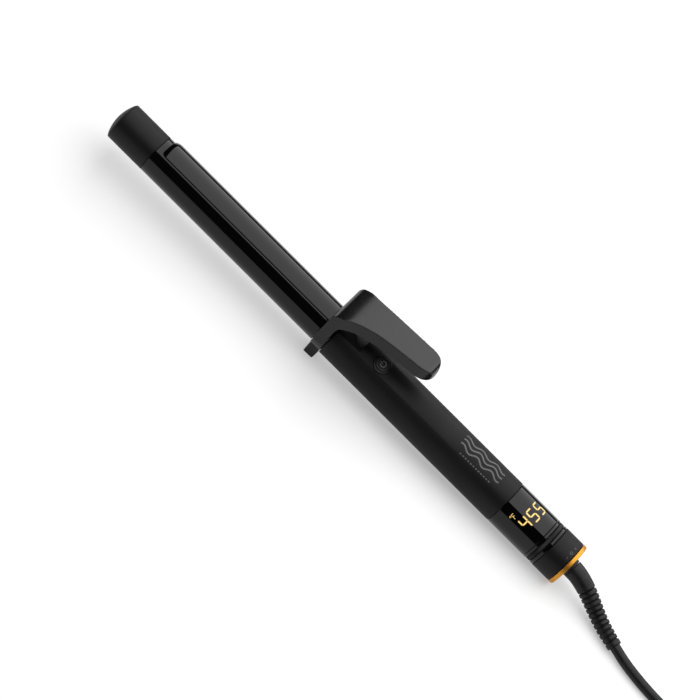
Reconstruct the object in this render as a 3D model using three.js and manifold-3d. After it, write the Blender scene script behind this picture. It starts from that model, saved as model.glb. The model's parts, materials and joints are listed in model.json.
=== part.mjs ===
// A 1-inch curling iron: a heated barrel with a spring clip and thumb lever, a round handle with a
// power button, a display and a temperature dial, and a swivel cord that is tied up as a hank.
// Millimetres, +Z up. The iron is drawn along X in its own frame, x = 0 at the clip's pivot and
// z = 0 on the barrel's axis, and then leans back so that its foot and its rear ring touch z = 0.
import * as THREE from "three";
import { mergeVertices } from "three/addons/utils/BufferGeometryUtils.js";
import Module from "manifold-3d";

const wasm = await Module();
wasm.setup();

// ---------------------------------------------------------------- driving dimensions
const GAP = 0.3; // clearance between neighbours
const SEGMENTS = 48; // sides of the large turned pieces
const SMALL_SEGMENTS = 20; // sides of the small turned pieces

const BARREL = { radius: 12.7, wall: 1.0, front: -145.3, rear: -3.8 };
const TIP = { rear: -145.6, shoulder: -171.6, apex: -176.2, bore: 9.2, spigotEnd: -139 };
const CLIP = {
  inner: 13.1, outer: 14.4, halfAngle: THREE.MathUtils.degToRad(38),
  front: -141.5, lipEnd: -139.9, root: 2.9,
};
// The works inside the barrel: a plate heater between two half-round bars, and its sensor and leads.
const INSULATOR = { front: -138.4, rear: -136.4, bore: 2 };
const HEATER = { front: -131, rear: -17, halfWidth: 5.5, half: 0.9 };
const SPREADER = { front: -133, rear: -19, flat: 1.2, wall: 2, hollowHalfAngle: 1.15 };
const SENSOR = { front: -72, rear: -65, radius: 1.1, height: -5.4 };
const LEAD_RADIUS = 0.8;
const LEAD_ROUTE = [ // x, distance from the middle, z
  [-16.6, 3, 0], [-12, 3, -1.5], [-6, 2.2, -5.2], [3, 2.2, -5.6], [10, 2.6, -4.6], [18, 3, -0.6], [25.4, 3, 3.0],
];
const PIVOT_HEIGHT = 4.0; // the pin's height over the barrel's axis
const PIN = { radius: 1.6, half: 15.9, bore: 1.9 };
const COLLAR = { radius: 14.2, front: -3.5, rear: 4.3, spigot: 11.3, passage: 4.2 };
const FOOT = { front: -2.0, rear: 4.2, bottom: -21.8, halfWidth: 7.0, contact: 1.1 };
const HANDLE = { radius: 14.8, bore: 12.8, front: 4.6, rear: 144.45 };
const RECESS = { rear: 21.8, floor: 11.1, halfWidth: 9.8 };
const MERIDIAN = THREE.MathUtils.degToRad(23); // the controls face this far round from the top
const BUTTON = { x: 36.6, bezel: 5.5, cap: 4.4, hole: 5.8, top: 15.9, bezelTop: 15.5 };
const WINDOW = { front: 144.75, rear: 173.75, bore: 13.0 };
const FRONT_TRIM = { front: 174.05, rear: 175.85 };
const GRIP_RING = { front: 176.15, rear: 178.95, radius: 14.5 };
const REAR_TRIM = { front: 179.25, rear: 181.25 };
const DIAL = { front: 181.55, rear: 194.45, end: 197.3, step: 13.0, hole: 7.0 };
const GOLD_RING = { front: 194.75, rear: 197.5, radius: 14.9, bore: 13.3 };
const FRAME = { outer: 12.4, inner: 10.9, front: 8, rear: 178.6, edge: 3.1 };
const BOARD = { bottom: 3.4, top: 5.0, halfWidth: 11.4 };
const ON_BOARD = BOARD.top + GAP; // where the parts that stand on a board begin
// The works inside the handle, each as its front and rear along the iron.
const WORKS = {
  mainBoard: [26, 144.9], displayBoard: [145.2, 169.5], chip: [56, 65], triac: [76, 91], capacitor: [98, 112],
  fuse: [119, 130], display: [148, 168.6], brushes: [170.6, 178.3], liveRing: [171.5, 173.8],
  neutralRing: [175.2, 177.5],
};
const CAPACITOR_RADIUS = 3.1;
const FUSE_RADIUS = 2.0;
const CONTACT_RING_RADIUS = 4.2;
const RETAINER = { front: 190.9, rear: 192.4, outer: 12.2, bore: 6.6 };
const SCREW = { out: 10.4, hole: 1.2, shank: 0.9, head: 1.7, front: 184, underHead: 192.7, end: 193.9 };
const DIAL_SPRING = { front: 192.8, rear: 194.4, outer: 8.3, inner: 7.3 };
const HUB = { front: 179, pocket: 187.4, rear: 190.6, bore: 3.5, pocketRadius: 8.6 };
const SWIVEL = { shank: 3.0, flange: 8.2, neck: 6.15, end: 199.9 };

const CORD_RADIUS = 3.3;
const CORD_SIDES = 10;
// The cord's centre line from the swivel to the hank, in the frame that stands on z = 0.
const RELIEF_ROUTE = [
  [200.4, 0, 14.79], [203.6, -0.15, 14.5], [207.4, -0.55, 13.85], [213.5, -1.6, 12.3], [219.5, -3.0, 10.3],
  [226, -4.9, 8.1], [232.5, -7.3, 6.5], [240, -10.2, 5.6], [249, -13.2, 4.9],
];
const RUN_ROUTE = [
  [249.3, -13.3, 4.85], [260, -16.3, 4.0], [272, -18.7, 3.6], [285, -20.4, 3.5],
  [299, -21.3, 3.5], [311, -21.6, 3.5], [323.2, -21.6, 3.5],
];
const RELIEF = { start: 6.15, end: 4.5 }; // radii of the tapered strain relief
const HANK = {
  x: 397, y: 6, halfRun: 54, fold: 27.6, waist: 10.2, innerFold: 21, innerWaist: 3.5,
  bottom: 0.2, top: 19.6, pitch: 6.6, firstLevel: 3.5, lift: 1.8,
};
const TIE = { half: 6, wall: 1.3 };
const PLUG = { rear: 412, front: 445, half: 12.2, bottom: 20.4, top: 35.6 };
const BLADE = { length: 17.4, half: 0.75, apart: 12.7, wide: 7.9, narrow: 6.3, hole: 1.6, holeFromTip: 4.2 };

// The thumb lever's top and lower edges from the side, and its half-width from above.
const LEVER_TOP = [
  [-3.9, 20.6], [-3.5, 22.9], [-2.3, 24.7], [-0.9, 25.8], [5.7, 28.8], [15.3, 31.5],
  [23.7, 33.2], [35.7, 34.7], [50.7, 36.2], [56.7, 36.6], [59.6, 35.8], [61.7, 33.7], [62.7, 30.8],
];
const LEVER_BOTTOM = [
  [62.7, 28.7], [47.6, 27.5], [35.7, 26.7], [22.5, 24.4], [15.3, 23.0], [10.5, 21.5],
  [6.9, 19.9], [4.4, 18.4], [3.3, 16.2], [3.3, 0], [-3.9, 0],
];
const LEVER_HALF_WIDTH = [
  [-3.9, 17.3], [1.6, 17.3], [5.7, 15.9], [10, 14.5], [15.3, 13.3], [23.7, 12.0], [35.7, 11.0], [50.7, 10.1],
];
const LEVER = { wall: 2.2, earInside: 14.65, tongueRound: 53.0, tongueEnd: 62.7, frontWall: -1.9 };
const SPRING = {
  half: 4.6, outer: 2.9, inner: 2.0, wire: 0.55, legOut: 2.3, upperEnd: 10.9, lowerEnd: -0.2, lowerSide: -3.9,
};
const RIVET = { x: 0.4, y: 4.2, hole: 1.2, shank: 0.9, top: 17.0 };

// ---------------------------------------------------------------- finishes
const finish = (color, roughness, metalness) => ({ color, roughness, metalness });
const GLOSS_BLACK = finish(0x0a0a0b, 0.18, 0.0);
const SATIN_BLACK = finish(0x17171a, 0.45, 0.0);
const MATTE_BLACK = finish(0x1d1d1f, 0.7, 0.0);
const GOLD = finish(0xe8a53a, 0.25, 1.0);
const STEEL = finish(0xb8bcc0, 0.3, 1.0);
const BRASS = finish(0xc9a34a, 0.3, 1.0);
const ALUMINIUM = finish(0xc4c7ca, 0.4, 1.0);
const CERAMIC = finish(0xe9e4d8, 0.6, 0.0);
const NYLON = finish(0x3a3a3e, 0.6, 0.0);
const BOARD_GREEN = finish(0x1f5a37, 0.5, 0.0);
const COMPONENT = finish(0x26282b, 0.4, 0.0);
const RUBBER = finish(0x141415, 0.8, 0.0);
const WIRE_SLEEVE = finish(0xd8d2c4, 0.7, 0.0);

// ---------------------------------------------------------------- solids
/** A manifold solid made from a closed three.js geometry, whichever way its faces point. */
function solidOf(geometry) {
  const bare = geometry.clone();
  bare.deleteAttribute("normal");
  bare.deleteAttribute("uv");
  const merged = mergeVertices(bare, 1e-4);
  const place = merged.attributes.position;
  const corners = merged.index.array;
  const kept = [];
  for (let i = 0; i < corners.length; i += 3) {
    const [p, q, r] = corners.slice(i, i + 3);
    if (p !== q && q !== r && r !== p) kept.push(p, q, r); // on the axis a facet has no area
  }
  const index = Uint32Array.from(kept);
  const [a, b, c] = [new THREE.Vector3(), new THREE.Vector3(), new THREE.Vector3()];
  let volume = 0;
  for (let i = 0; i < index.length; i += 3) {
    a.fromBufferAttribute(place, index[i]);
    b.fromBufferAttribute(place, index[i + 1]);
    c.fromBufferAttribute(place, index[i + 2]);
    volume += a.dot(b.cross(c));
  }
  if (volume < 0) index.reverse();
  return new wasm.Manifold(new wasm.Mesh({
    numProp: 3, vertProperties: Float32Array.from(place.array), triVerts: index,
  }));
}

/** The three.js geometry of a manifold solid. */
function geometryOf(solid) {
  const mesh = solid.getMesh();
  const geometry = new THREE.BufferGeometry();
  geometry.setAttribute("position", new THREE.BufferAttribute(mesh.vertProperties, 3));
  geometry.setIndex(new THREE.BufferAttribute(mesh.triVerts, 1));
  return geometry;
}

const combine = (way, first, rest) =>
  geometryOf(rest.reduce((whole, next) => whole[way](solidOf(next)), solidOf(first)));
const cut = (first, ...rest) => combine("subtract", first, rest);
const join = (first, ...rest) => combine("add", first, rest);
const common = (first, ...rest) => combine("intersect", first, rest);

/** A turned solid about X from a closed outline of [radius, x] points. */
function turned(outline, segments = SEGMENTS) {
  const points = [...outline, outline[0]].map(([radius, x]) => new THREE.Vector2(radius, x));
  return new THREE.LatheGeometry(points, segments).rotateZ(-Math.PI / 2);
}

const tube = (front, rear, outer, inner, segments = SEGMENTS) =>
  turned([[inner, front], [outer, front], [outer, rear], [inner, rear]], segments);
const rod = (front, rear, radius, segments = SMALL_SEGMENTS) =>
  new THREE.CylinderGeometry(radius, radius, rear - front, segments)
    .rotateZ(-Math.PI / 2).translate((front + rear) / 2, 0, 0);
const rodAlongY = (left, right, radius, segments = SMALL_SEGMENTS) =>
  new THREE.CylinderGeometry(radius, radius, right - left, segments).translate(0, (left + right) / 2, 0);
const rodAlongZ = (bottom, top, radius, segments = SMALL_SEGMENTS) =>
  new THREE.CylinderGeometry(radius, radius, top - bottom, segments)
    .rotateX(Math.PI / 2).translate(0, 0, (bottom + top) / 2);
const block = (x0, x1, y0, y1, z0, z1) =>
  new THREE.BoxGeometry(x1 - x0, y1 - y0, z1 - z0)
    .translate((x0 + x1) / 2, (y0 + y1) / 2, (z0 + z1) / 2);

const shapeOf = (points) => new THREE.Shape(points.map(([x, y]) => new THREE.Vector2(x, y)));
/** A flat outline of [x, y] points standing from z0 to z1. */
const plate = (points, z0, z1) =>
  new THREE.ExtrudeGeometry(shapeOf(points), { depth: z1 - z0, bevelEnabled: false }).translate(0, 0, z0);
/** A side outline of [x, z] points reaching the same way to both sides of y = 0. */
const profile = (points, halfWidth) =>
  new THREE.ExtrudeGeometry(shapeOf(points), { depth: 2 * halfWidth, bevelEnabled: false })
    .rotateX(Math.PI / 2).translate(0, halfWidth, 0);
/** A section of [y, z] points drawn out along X, with hollows that run the same way round as it. */
const bar = (points, x0, x1, hollows = []) => {
  const shape = shapeOf(points);
  shape.holes = hollows.map((hollow) => shapeOf([...hollow].reverse()));
  return new THREE.ExtrudeGeometry(shape, { depth: x1 - x0, bevelEnabled: false })
    .rotateX(Math.PI / 2).rotateZ(Math.PI / 2).translate(x0, 0, 0);
};

/** Points of an arc about the axis: angles from the top, positive toward +Y, in [y, z]. */
const arc = (radius, from, to, steps) =>
  Array.from({ length: steps + 1 }, (_, i) => {
    const angle = from + ((to - from) * i) / steps;
    return [radius * Math.sin(angle), radius * Math.cos(angle)];
  });

/** A round tube along a list of points. */
function hose(points, radius, sides, steps) {
  const section = new THREE.Shape(
    Array.from({ length: sides }, (_, i) => {
      const angle = (2 * Math.PI * i) / sides;
      return new THREE.Vector2(radius * Math.cos(angle), radius * Math.sin(angle));
    }),
  );
  const path = new THREE.CatmullRomCurve3(points.map((p) => new THREE.Vector3(...p)));
  return new THREE.ExtrudeGeometry(section, { extrudePath: path, steps, bevelEnabled: false });
}

function part(parent, name, geometry, look) {
  const material = new THREE.MeshStandardMaterial(look);
  const mesh = new THREE.Mesh(geometryOf(solidOf(geometry)), material);
  mesh.name = name;
  parent.add(mesh);
  return mesh;
}

// ---------------------------------------------------------------- barrel and heater
function coolTip() {
  const shell = [
    [TIP.bore, TIP.shoulder], [TIP.bore, TIP.spigotEnd], [BARREL.radius - BARREL.wall - GAP, TIP.spigotEnd],
    [BARREL.radius - BARREL.wall - GAP, TIP.rear], [BARREL.radius, TIP.rear], [BARREL.radius, TIP.shoulder],
    [12.3, -172.8], [11.3, -173.7], [7.6, -175.2], [3.8, -176.0], [0, TIP.apex], [0, -173.2],
    [TIP.bore - 2, -172.6],
  ];
  return turned(shell);
}

function barrelPieces(group) {
  const inside = BARREL.radius - BARREL.wall;
  part(group, "cool_tip", coolTip(), MATTE_BLACK);
  part(group, "barrel_tube", tube(BARREL.front, BARREL.rear, BARREL.radius, inside), GLOSS_BLACK);
  const insulator = tube(INSULATOR.front, INSULATOR.rear, inside - GAP, INSULATOR.bore, SMALL_SEGMENTS);
  part(group, "tip_insulator", insulator, CERAMIC);
  const { halfWidth, half } = HEATER;
  part(group, "heater_plate", block(HEATER.front, HEATER.rear, -halfWidth, halfWidth, -half, half), CERAMIC);

  // Two half-round aluminium bars clamp the heater and carry its heat to the barrel.
  const { flat, wall, hollowHalfAngle } = SPREADER;
  const reach = inside - GAP;
  const edge = Math.acos(flat / reach);
  const hollow = arc(reach - wall, -hollowHalfAngle, hollowHalfAngle, 10);
  const spreader = bar(arc(reach, -edge, edge, 16), SPREADER.front, SPREADER.rear, [hollow]);
  part(group, "heat_spreader_upper", spreader, ALUMINIUM);
  part(group, "heat_spreader_lower", spreader.clone().rotateX(Math.PI), ALUMINIUM);
  const sensor = rod(SENSOR.front, SENSOR.rear, SENSOR.radius, 12).translate(0, 0, SENSOR.height);
  part(group, "temperature_sensor", sensor, CERAMIC);

  for (const [side, name] of [[-1, "heater_lead_live"], [1, "heater_lead_neutral"]]) {
    const route = LEAD_ROUTE.map(([x, out, z]) => [x, side * out, z]);
    part(group, name, hose(route, LEAD_RADIUS, 8, 16), WIRE_SLEEVE);
  }
}

// ---------------------------------------------------------------- collar, pivot and clip
/** The collar between barrel and handle, with the cheeks that hold the pivot pin and the rest foot. */
function baseCollar(lean) {
  const disc = rod(COLLAR.front, COLLAR.rear, COLLAR.radius, SEGMENTS);
  const frontSpigot = tube(-12, COLLAR.front + 1, COLLAR.spigot, 9.4);
  const rearSpigot = tube(COLLAR.rear - 1, 7.6, FRAME.outer, 10.2);
  const rise = (x) => FOOT.bottom + (x - FOOT.contact) * Math.tan(lean);
  const foot = profile([
    [COLLAR.front + 0.2, -10], [COLLAR.front + 0.4, -13.5], [FOOT.front, rise(FOOT.front)],
    [FOOT.rear - 1.2, rise(FOOT.rear - 1.2)], [FOOT.rear, rise(FOOT.rear) + 1.2],
    [COLLAR.rear, -13.5], [COLLAR.rear, -10],
  ], FOOT.halfWidth);
  return cut(
    join(disc, frontSpigot, rearSpigot, foot),
    block(-20, 20, -9.6, 9.6, 9.4, 20), // the clip's root rocks in here
    block(COLLAR.rear, 20, -20, 20, 8.8, 20), // room for the floor of the handle's recess
    block(-2.7 - GAP, 3.5, -5.2, 5.2, -0.6, 20), // the clip spring's slot
    rod(-20, 20, COLLAR.passage).translate(0, 0, -5.4), // the wires' passage
    rodAlongY(-20, 20, PIN.bore).translate(0, 0, PIVOT_HEIGHT),
  );
}

/** A torsion spring round the pivot pin with two straight legs. */
function clipSpring() {
  const { half, outer, inner, wire, legOut, upperEnd, lowerEnd, lowerSide } = SPRING;
  const coil = cut(rodAlongY(-half, half, outer), rodAlongY(-half - 1, half + 1, inner)).translate(0, 0, PIVOT_HEIGHT);
  const upperLeg = rodAlongZ(PIVOT_HEIGHT, upperEnd, wire, 10).translate(legOut, 0, 0);
  const lowerLeg = rodAlongZ(lowerEnd, PIVOT_HEIGHT, wire, 10).translate(-legOut, lowerSide, 0);
  return join(coil, upperLeg, lowerLeg);
}

function clipPlate() {
  const { inner, outer, halfAngle } = CLIP;
  const section = (from) => [
    ...arc(outer, -halfAngle, halfAngle, 14), ...arc(from, halfAngle, -halfAngle, 14),
  ];
  const blade = bar(section(inner), CLIP.front, CLIP.root);
  const lip = bar(section(BARREL.radius + 0.25), CLIP.front, CLIP.lipEnd);
  const front = profile([
    [CLIP.front - 1, 16], [CLIP.front - 1, 0], [CLIP.front, 0], [CLIP.front, 13.0],
    [CLIP.front + 1.6, 14.1], [CLIP.front + 4.5, 14.6], [CLIP.front + 4.5, 16],
  ], 20);
  const holes = [-1, 1].map((side) => rodAlongZ(8, 20, RIVET.hole).translate(RIVET.x, side * RIVET.y, 0));
  return cut(join(blade, lip), front, ...holes);
}

/** Half-width outline from above, with a round end, shrunk by the wall and reaching back to x0. */
function tongue(wall, x0, earHalfWidth) {
  const { tongueRound, tongueEnd } = LEVER;
  const side = LEVER_HALF_WIDTH.map(([x, half]) => [x, Math.min(half - wall, earHalfWidth)]);
  const last = side[side.length - 1][1];
  const end = Array.from({ length: 13 }, (_, i) => {
    const angle = (Math.PI * i) / 12;
    return [tongueRound + (tongueEnd - wall - tongueRound) * Math.sin(angle), last * Math.cos(angle)];
  });
  side[0][0] = x0;
  return [...side, ...end, ...side.map(([x, half]) => [x, -half]).reverse()];
}

function thumbLever() {
  const { wall, earInside, frontWall } = LEVER;
  const body = common(profile([...LEVER_TOP, ...LEVER_BOTTOM], 20), plate(tongue(0, -3.9, 17.3), -5, 45));
  const ceiling = LEVER_TOP.filter(([x]) => x > -1 && x < 60).map(([x, z]) => [x, z - wall]);
  const room = common(
    profile([[frontWall, -5], [frontWall, 22.6], ...ceiling, [60.5, 32.4], [60.5, -5]], 20),
    plate(tongue(wall, frontWall, earInside), -6, 45),
  );
  const arch = join(
    rod(-10, 2, earInside, SEGMENTS),
    block(-10, 2, -earInside, earInside, -10, 0),
  );
  const boss = common(body, block(frontWall - 1, CLIP.root, -7.5, 7.5, 15, 25));
  const rivetHoles = [-1, 1].map((side) =>
    rodAlongZ(10, RIVET.top + GAP, RIVET.hole).translate(RIVET.x, side * RIVET.y, 0));
  return cut(
    join(cut(body, room), boss),
    arch,
    rodAlongY(-PIN.half - GAP, PIN.half + GAP, PIN.bore).translate(0, 0, PIVOT_HEIGHT),
    ...rivetHoles,
  );
}

function rivet(side) {
  const head = rodAlongZ(10.4, 11.2, 1.8);
  return join(head, rodAlongZ(11, RIVET.top, RIVET.shank)).translate(RIVET.x, side * RIVET.y, 0);
}

function clipPieces(group, lean) {
  part(group, "base_collar", baseCollar(lean), SATIN_BLACK);
  part(group, "pivot_pin", rodAlongY(-PIN.half, PIN.half, PIN.radius).translate(0, 0, PIVOT_HEIGHT), STEEL);
  part(group, "clip_spring", clipSpring(), STEEL);
  part(group, "clip_plate", clipPlate(), GLOSS_BLACK);
  part(group, "thumb_lever", thumbLever(), SATIN_BLACK);
  part(group, "clip_rivet_left", rivet(-1), STEEL);
  part(group, "clip_rivet_right", rivet(1), STEEL);
}

// ---------------------------------------------------------------- handle
function handleSleeve() {
  const wall = tube(HANDLE.front, HANDLE.rear, HANDLE.radius, HANDLE.bore);
  const recessFloor = common(
    rod(HANDLE.front, RECESS.rear + 1.8, HANDLE.radius, SEGMENTS),
    block(HANDLE.front, RECESS.rear + 1.8, -11.4, 11.4, RECESS.floor - 1.8, 20),
  );
  const buttonHole = rodAlongZ(10, 20, BUTTON.hole, 24).translate(BUTTON.x, 0, 0).rotateX(MERIDIAN);
  return cut(
    join(wall, recessFloor),
    block(0, RECESS.rear, -RECESS.halfWidth, RECESS.halfWidth, RECESS.floor, 20),
    buttonHole,
  );
}

/** The half-pipe that carries the boards, open toward the controls. */
function innerFrame() {
  const pipe = tube(FRAME.front, FRAME.rear, FRAME.outer, FRAME.inner);
  return cut(pipe, block(0, 200, -20, 20, FRAME.edge, 20));
}

function handlePieces(group) {
  part(group, "handle_sleeve", handleSleeve(), MATTE_BLACK);

  // Everything behind the button and the display lies square to the controls' meridian.
  const inside = new THREE.Group();
  inside.rotation.x = MERIDIAN;
  group.add(inside);
  const { bottom, top, halfWidth } = BOARD;
  const at = (geometry, x, z) => geometry.translate(x, 0, z);
  part(inside, "inner_frame", innerFrame(), NYLON);
  part(inside, "main_board", block(...WORKS.mainBoard, -halfWidth, halfWidth, bottom, top), BOARD_GREEN);
  part(inside, "button_switch", block(-3, 3, -3, 3, ON_BOARD, 8.2).translate(BUTTON.x, 0, 0), COMPONENT);
  part(inside, "controller_chip", block(...WORKS.chip, -4.5, 4.5, ON_BOARD, ON_BOARD + 1.4), COMPONENT);
  part(inside, "triac", block(...WORKS.triac, -5, 5, ON_BOARD, ON_BOARD + 4.4), COMPONENT);
  part(inside, "capacitor", at(rod(...WORKS.capacitor, CAPACITOR_RADIUS), 0, ON_BOARD + CAPACITOR_RADIUS), COMPONENT);
  part(inside, "fuse", at(rod(...WORKS.fuse, FUSE_RADIUS, 12), 0, ON_BOARD + FUSE_RADIUS), CERAMIC);
  part(inside, "display_board", block(...WORKS.displayBoard, -halfWidth, halfWidth, bottom, top), BOARD_GREEN);
  part(inside, "display_module", block(...WORKS.display, -9, 9, ON_BOARD, 8.3), COMPONENT);
  part(inside, "button_bezel",
    at(cut(rodAlongZ(12.2, BUTTON.bezelTop, BUTTON.bezel, 28), rodAlongZ(10, 20, BUTTON.cap + GAP, 28)),
      BUTTON.x, 0), GLOSS_BLACK);
  part(inside, "power_button",
    at(join(rodAlongZ(13.9, BUTTON.top, BUTTON.cap, 28), rodAlongZ(9.3, 14.2, 1.5)), BUTTON.x, 0), SATIN_BLACK);

  part(group, "display_window", tube(WINDOW.front, WINDOW.rear, HANDLE.radius, WINDOW.bore), GLOSS_BLACK);
  part(group, "front_trim_ring", tube(FRONT_TRIM.front, FRONT_TRIM.rear, HANDLE.radius, HANDLE.bore), GLOSS_BLACK);
  part(group, "grip_ring", tube(GRIP_RING.front, GRIP_RING.rear, GRIP_RING.radius, HANDLE.bore), MATTE_BLACK);
  part(group, "rear_trim_ring", tube(REAR_TRIM.front, REAR_TRIM.rear, HANDLE.radius, HANDLE.bore), GLOSS_BLACK);
}

// ---------------------------------------------------------------- dial and swivel
/** A rod on a retainer screw's line, on one side or the other. */
function onScrewLine(radius, front, rear, side) {
  return rod(front, rear, radius, 12).translate(0, side * SCREW.out, 0);
}

function dialPieces(group) {
  const { pocket, rear, bore, pocketRadius } = HUB;
  const hub = turned([
    [bore, HUB.front], [FRAME.outer, HUB.front], [FRAME.outer, rear], [pocketRadius, rear],
    [pocketRadius, pocket], [bore, pocket],
  ]);
  const sides = [-1, 1];
  const threads = sides.map((side) => onScrewLine(SCREW.hole, SCREW.front - 0.5, 200, side));
  part(group, "tail_hub", cut(hub, ...threads), NYLON);
  part(group, "swivel_retainer",
    cut(tube(RETAINER.front, RETAINER.rear, RETAINER.outer, RETAINER.bore),
      ...sides.map((side) => onScrewLine(SCREW.hole, 180, 200, side))), NYLON);
  for (const [side, name] of [[-1, "retainer_screw_left"], [1, "retainer_screw_right"]]) {
    const screw = join(
      onScrewLine(SCREW.shank, SCREW.front, SCREW.underHead + GAP, side),
      onScrewLine(SCREW.head, SCREW.underHead, SCREW.end, side),
    );
    part(group, name, screw, STEEL);
  }
  const returnSpring = tube(DIAL_SPRING.front, DIAL_SPRING.rear, DIAL_SPRING.outer, DIAL_SPRING.inner, 28);
  part(group, "dial_return_spring", returnSpring, STEEL);
  const brushes = cut(
    block(...WORKS.brushes, -6.5, 6.5, -8, 2.9),
    rod(160, 190, 4.6, 24),
    block(160, 190, -4.6, 4.6, 0, 20),
  );
  part(group, "brush_block", brushes.rotateX(MERIDIAN), NYLON);

  part(group, "temperature_dial", turned([
    [HANDLE.bore, DIAL.front], [HANDLE.radius, DIAL.front], [HANDLE.radius, DIAL.rear],
    [DIAL.step, DIAL.rear], [DIAL.step, DIAL.end], [DIAL.hole, DIAL.end], [DIAL.hole, 194.9],
    [HANDLE.bore, 194.9 - 0.8],
  ]), SATIN_BLACK);
  part(group, "gold_ring", tube(GOLD_RING.front, GOLD_RING.rear, GOLD_RING.radius, GOLD_RING.bore), GOLD);

  const { shank, flange, neck, end } = SWIVEL;
  part(group, "swivel_core", turned([
    [0, 170.5], [shank, 170.5], [shank, pocket + GAP], [flange, pocket + GAP],
    [flange, rear - GAP], [neck, rear - GAP], [neck, end], [0, end],
  ], 32), RUBBER);
  part(group, "slip_ring_live", tube(...WORKS.liveRing, CONTACT_RING_RADIUS, shank + GAP, SMALL_SEGMENTS), BRASS);
  part(group, "slip_ring_neutral", tube(...WORKS.neutralRing, CONTACT_RING_RADIUS, shank + GAP, SMALL_SEGMENTS), BRASS);
}

// ---------------------------------------------------------------- cord
/** A turned solid bent along a route: its radius runs evenly from the first value to the second. */
function tapered(route, startRadius, endRadius, sides, rows) {
  const path = new THREE.CatmullRomCurve3(route.map((p) => new THREE.Vector3(...p)));
  const length = path.getLength();
  const geometry = new THREE.CylinderGeometry(endRadius, startRadius, length, sides, rows);
  geometry.translate(0, length / 2, 0);
  const place = geometry.attributes.position;
  const up = new THREE.Vector3(0, 0, 1);
  for (let i = 0; i < place.count; i += 1) {
    const along = THREE.MathUtils.clamp(place.getY(i) / length, 0, 1);
    const heading = path.getTangentAt(along);
    const across = new THREE.Vector3().crossVectors(up, heading).normalize();
    const above = new THREE.Vector3().crossVectors(heading, across);
    const spot = path.getPointAt(along)
      .addScaledVector(across, place.getX(i)).addScaledVector(above, place.getZ(i));
    place.setXYZ(i, spot.x, spot.y, spot.z);
  }
  return geometry;
}

/** How far a run of the hank lies from its middle line: narrow where it is tied, wide at the folds. */
function spreadAt(x, waist, fold) {
  const t = Math.min(Math.abs(x) / HANK.halfRun, 1);
  return waist + (fold - waist) * t * t * (3 - 2 * t);
}

function hankSolid() {
  const { halfRun, fold, waist } = HANK;
  const side = Array.from({ length: 21 }, (_, i) => {
    const x = -halfRun + (2 * halfRun * i) / 20;
    return [x, spreadAt(x, waist, fold) + CORD_RADIUS];
  });
  const round = Array.from({ length: 13 }, (_, i) => {
    const angle = Math.PI / 2 - (Math.PI * (i + 1)) / 14;
    return [halfRun + (fold + CORD_RADIUS) * Math.cos(angle), (fold + CORD_RADIUS) * Math.sin(angle)];
  });
  const upper = [...side, ...round];
  const outline = [...upper, ...upper.map(([x, y]) => [-x, -y])];
  const tieGroove = block(-TIE.half - 1, TIE.half + 1, -40, 40, -1, TIE.wall + 0.5);
  return cut(plate(outline, HANK.bottom, HANK.top), tieGroove).translate(HANK.x, HANK.y, 0);
}

/** The end of the cord, lying on the hank along its inner track as far as the plug. */
function tailRoute() {
  const { x, y, halfRun, innerFold, innerWaist, firstLevel, pitch, lift } = HANK;
  const top = firstLevel + 3 * pitch;
  const points = [];
  for (let along = -halfRun; along <= 0; along += 9) {
    const out = spreadAt(along, innerWaist, innerFold);
    const raised = lift * (1 - (out - innerWaist) / (innerFold - innerWaist));
    points.push([x + along, y - out, top + raised]);
  }
  return [...points, [x + 5.5, y - 2.0, 26.6], [x + 11, y - 0.3, 27.8], [PLUG.rear - 2 * GAP, y, 28]];
}

/** The strap round the hank's waist. */
function cordTie() {
  const half = HANK.waist + CORD_RADIUS + GAP + 0.6;
  const outer = block(-TIE.half, TIE.half, -half - TIE.wall, half + TIE.wall, 0.05, HANK.top + GAP + TIE.wall);
  const inner = block(-10, 10, -half, half, 0.05 + TIE.wall, HANK.top + GAP);
  return cut(outer, inner).translate(HANK.x, HANK.y, 0);
}

function plugBody() {
  const { rear, front, half, bottom, top } = PLUG;
  const long = front - rear;
  const outline = [
    [0, -4.6], [6, -4.9], [11, -half + 2.2], [13.5, -half + 0.4], [long - 2, -half], [long, -half + 2],
  ];
  const round = [...outline, ...outline.map(([x, y]) => [x, -y]).reverse()];
  return plate(round, bottom, top).translate(rear, HANK.y, 0);
}

/** One flat blade with a hole near its tip. */
function plugBlade(side, height) {
  const { front, bottom, top } = PLUG;
  const middle = (bottom + top) / 2;
  const end = front + BLADE.length;
  const flat = block(front + GAP, end, -BLADE.half, BLADE.half, middle - height / 2, middle + height / 2);
  const hole = rodAlongY(-3, 3, BLADE.hole, 14).translate(end - BLADE.holeFromTip, 0, middle);
  return cut(flat, hole).translate(0, HANK.y + (side * BLADE.apart) / 2, 0);
}

function cordPieces(group) {
  part(group, "strain_relief", tapered(RELIEF_ROUTE, RELIEF.start, RELIEF.end, 20, 12), RUBBER);
  part(group, "cord_run", hose(RUN_ROUTE, CORD_RADIUS, CORD_SIDES, 6), RUBBER);
  part(group, "cord_hank", hankSolid(), RUBBER);
  part(group, "cord_tail", hose(tailRoute(), CORD_RADIUS, CORD_SIDES, 7), RUBBER);
  part(group, "cord_tie", cordTie(), NYLON);
  part(group, "plug_body", plugBody(), RUBBER);
  part(group, "plug_blade_wide", plugBlade(-1, BLADE.wide), BRASS);
  part(group, "plug_blade_narrow", plugBlade(1, BLADE.narrow), BRASS);
}

// ---------------------------------------------------------------- the whole
/** How far the axis leans so that the foot and the rear ring stand on one plane. */
const LEAN = Math.atan((-FOOT.bottom - GOLD_RING.radius) / (GOLD_RING.rear - FOOT.contact));

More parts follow.
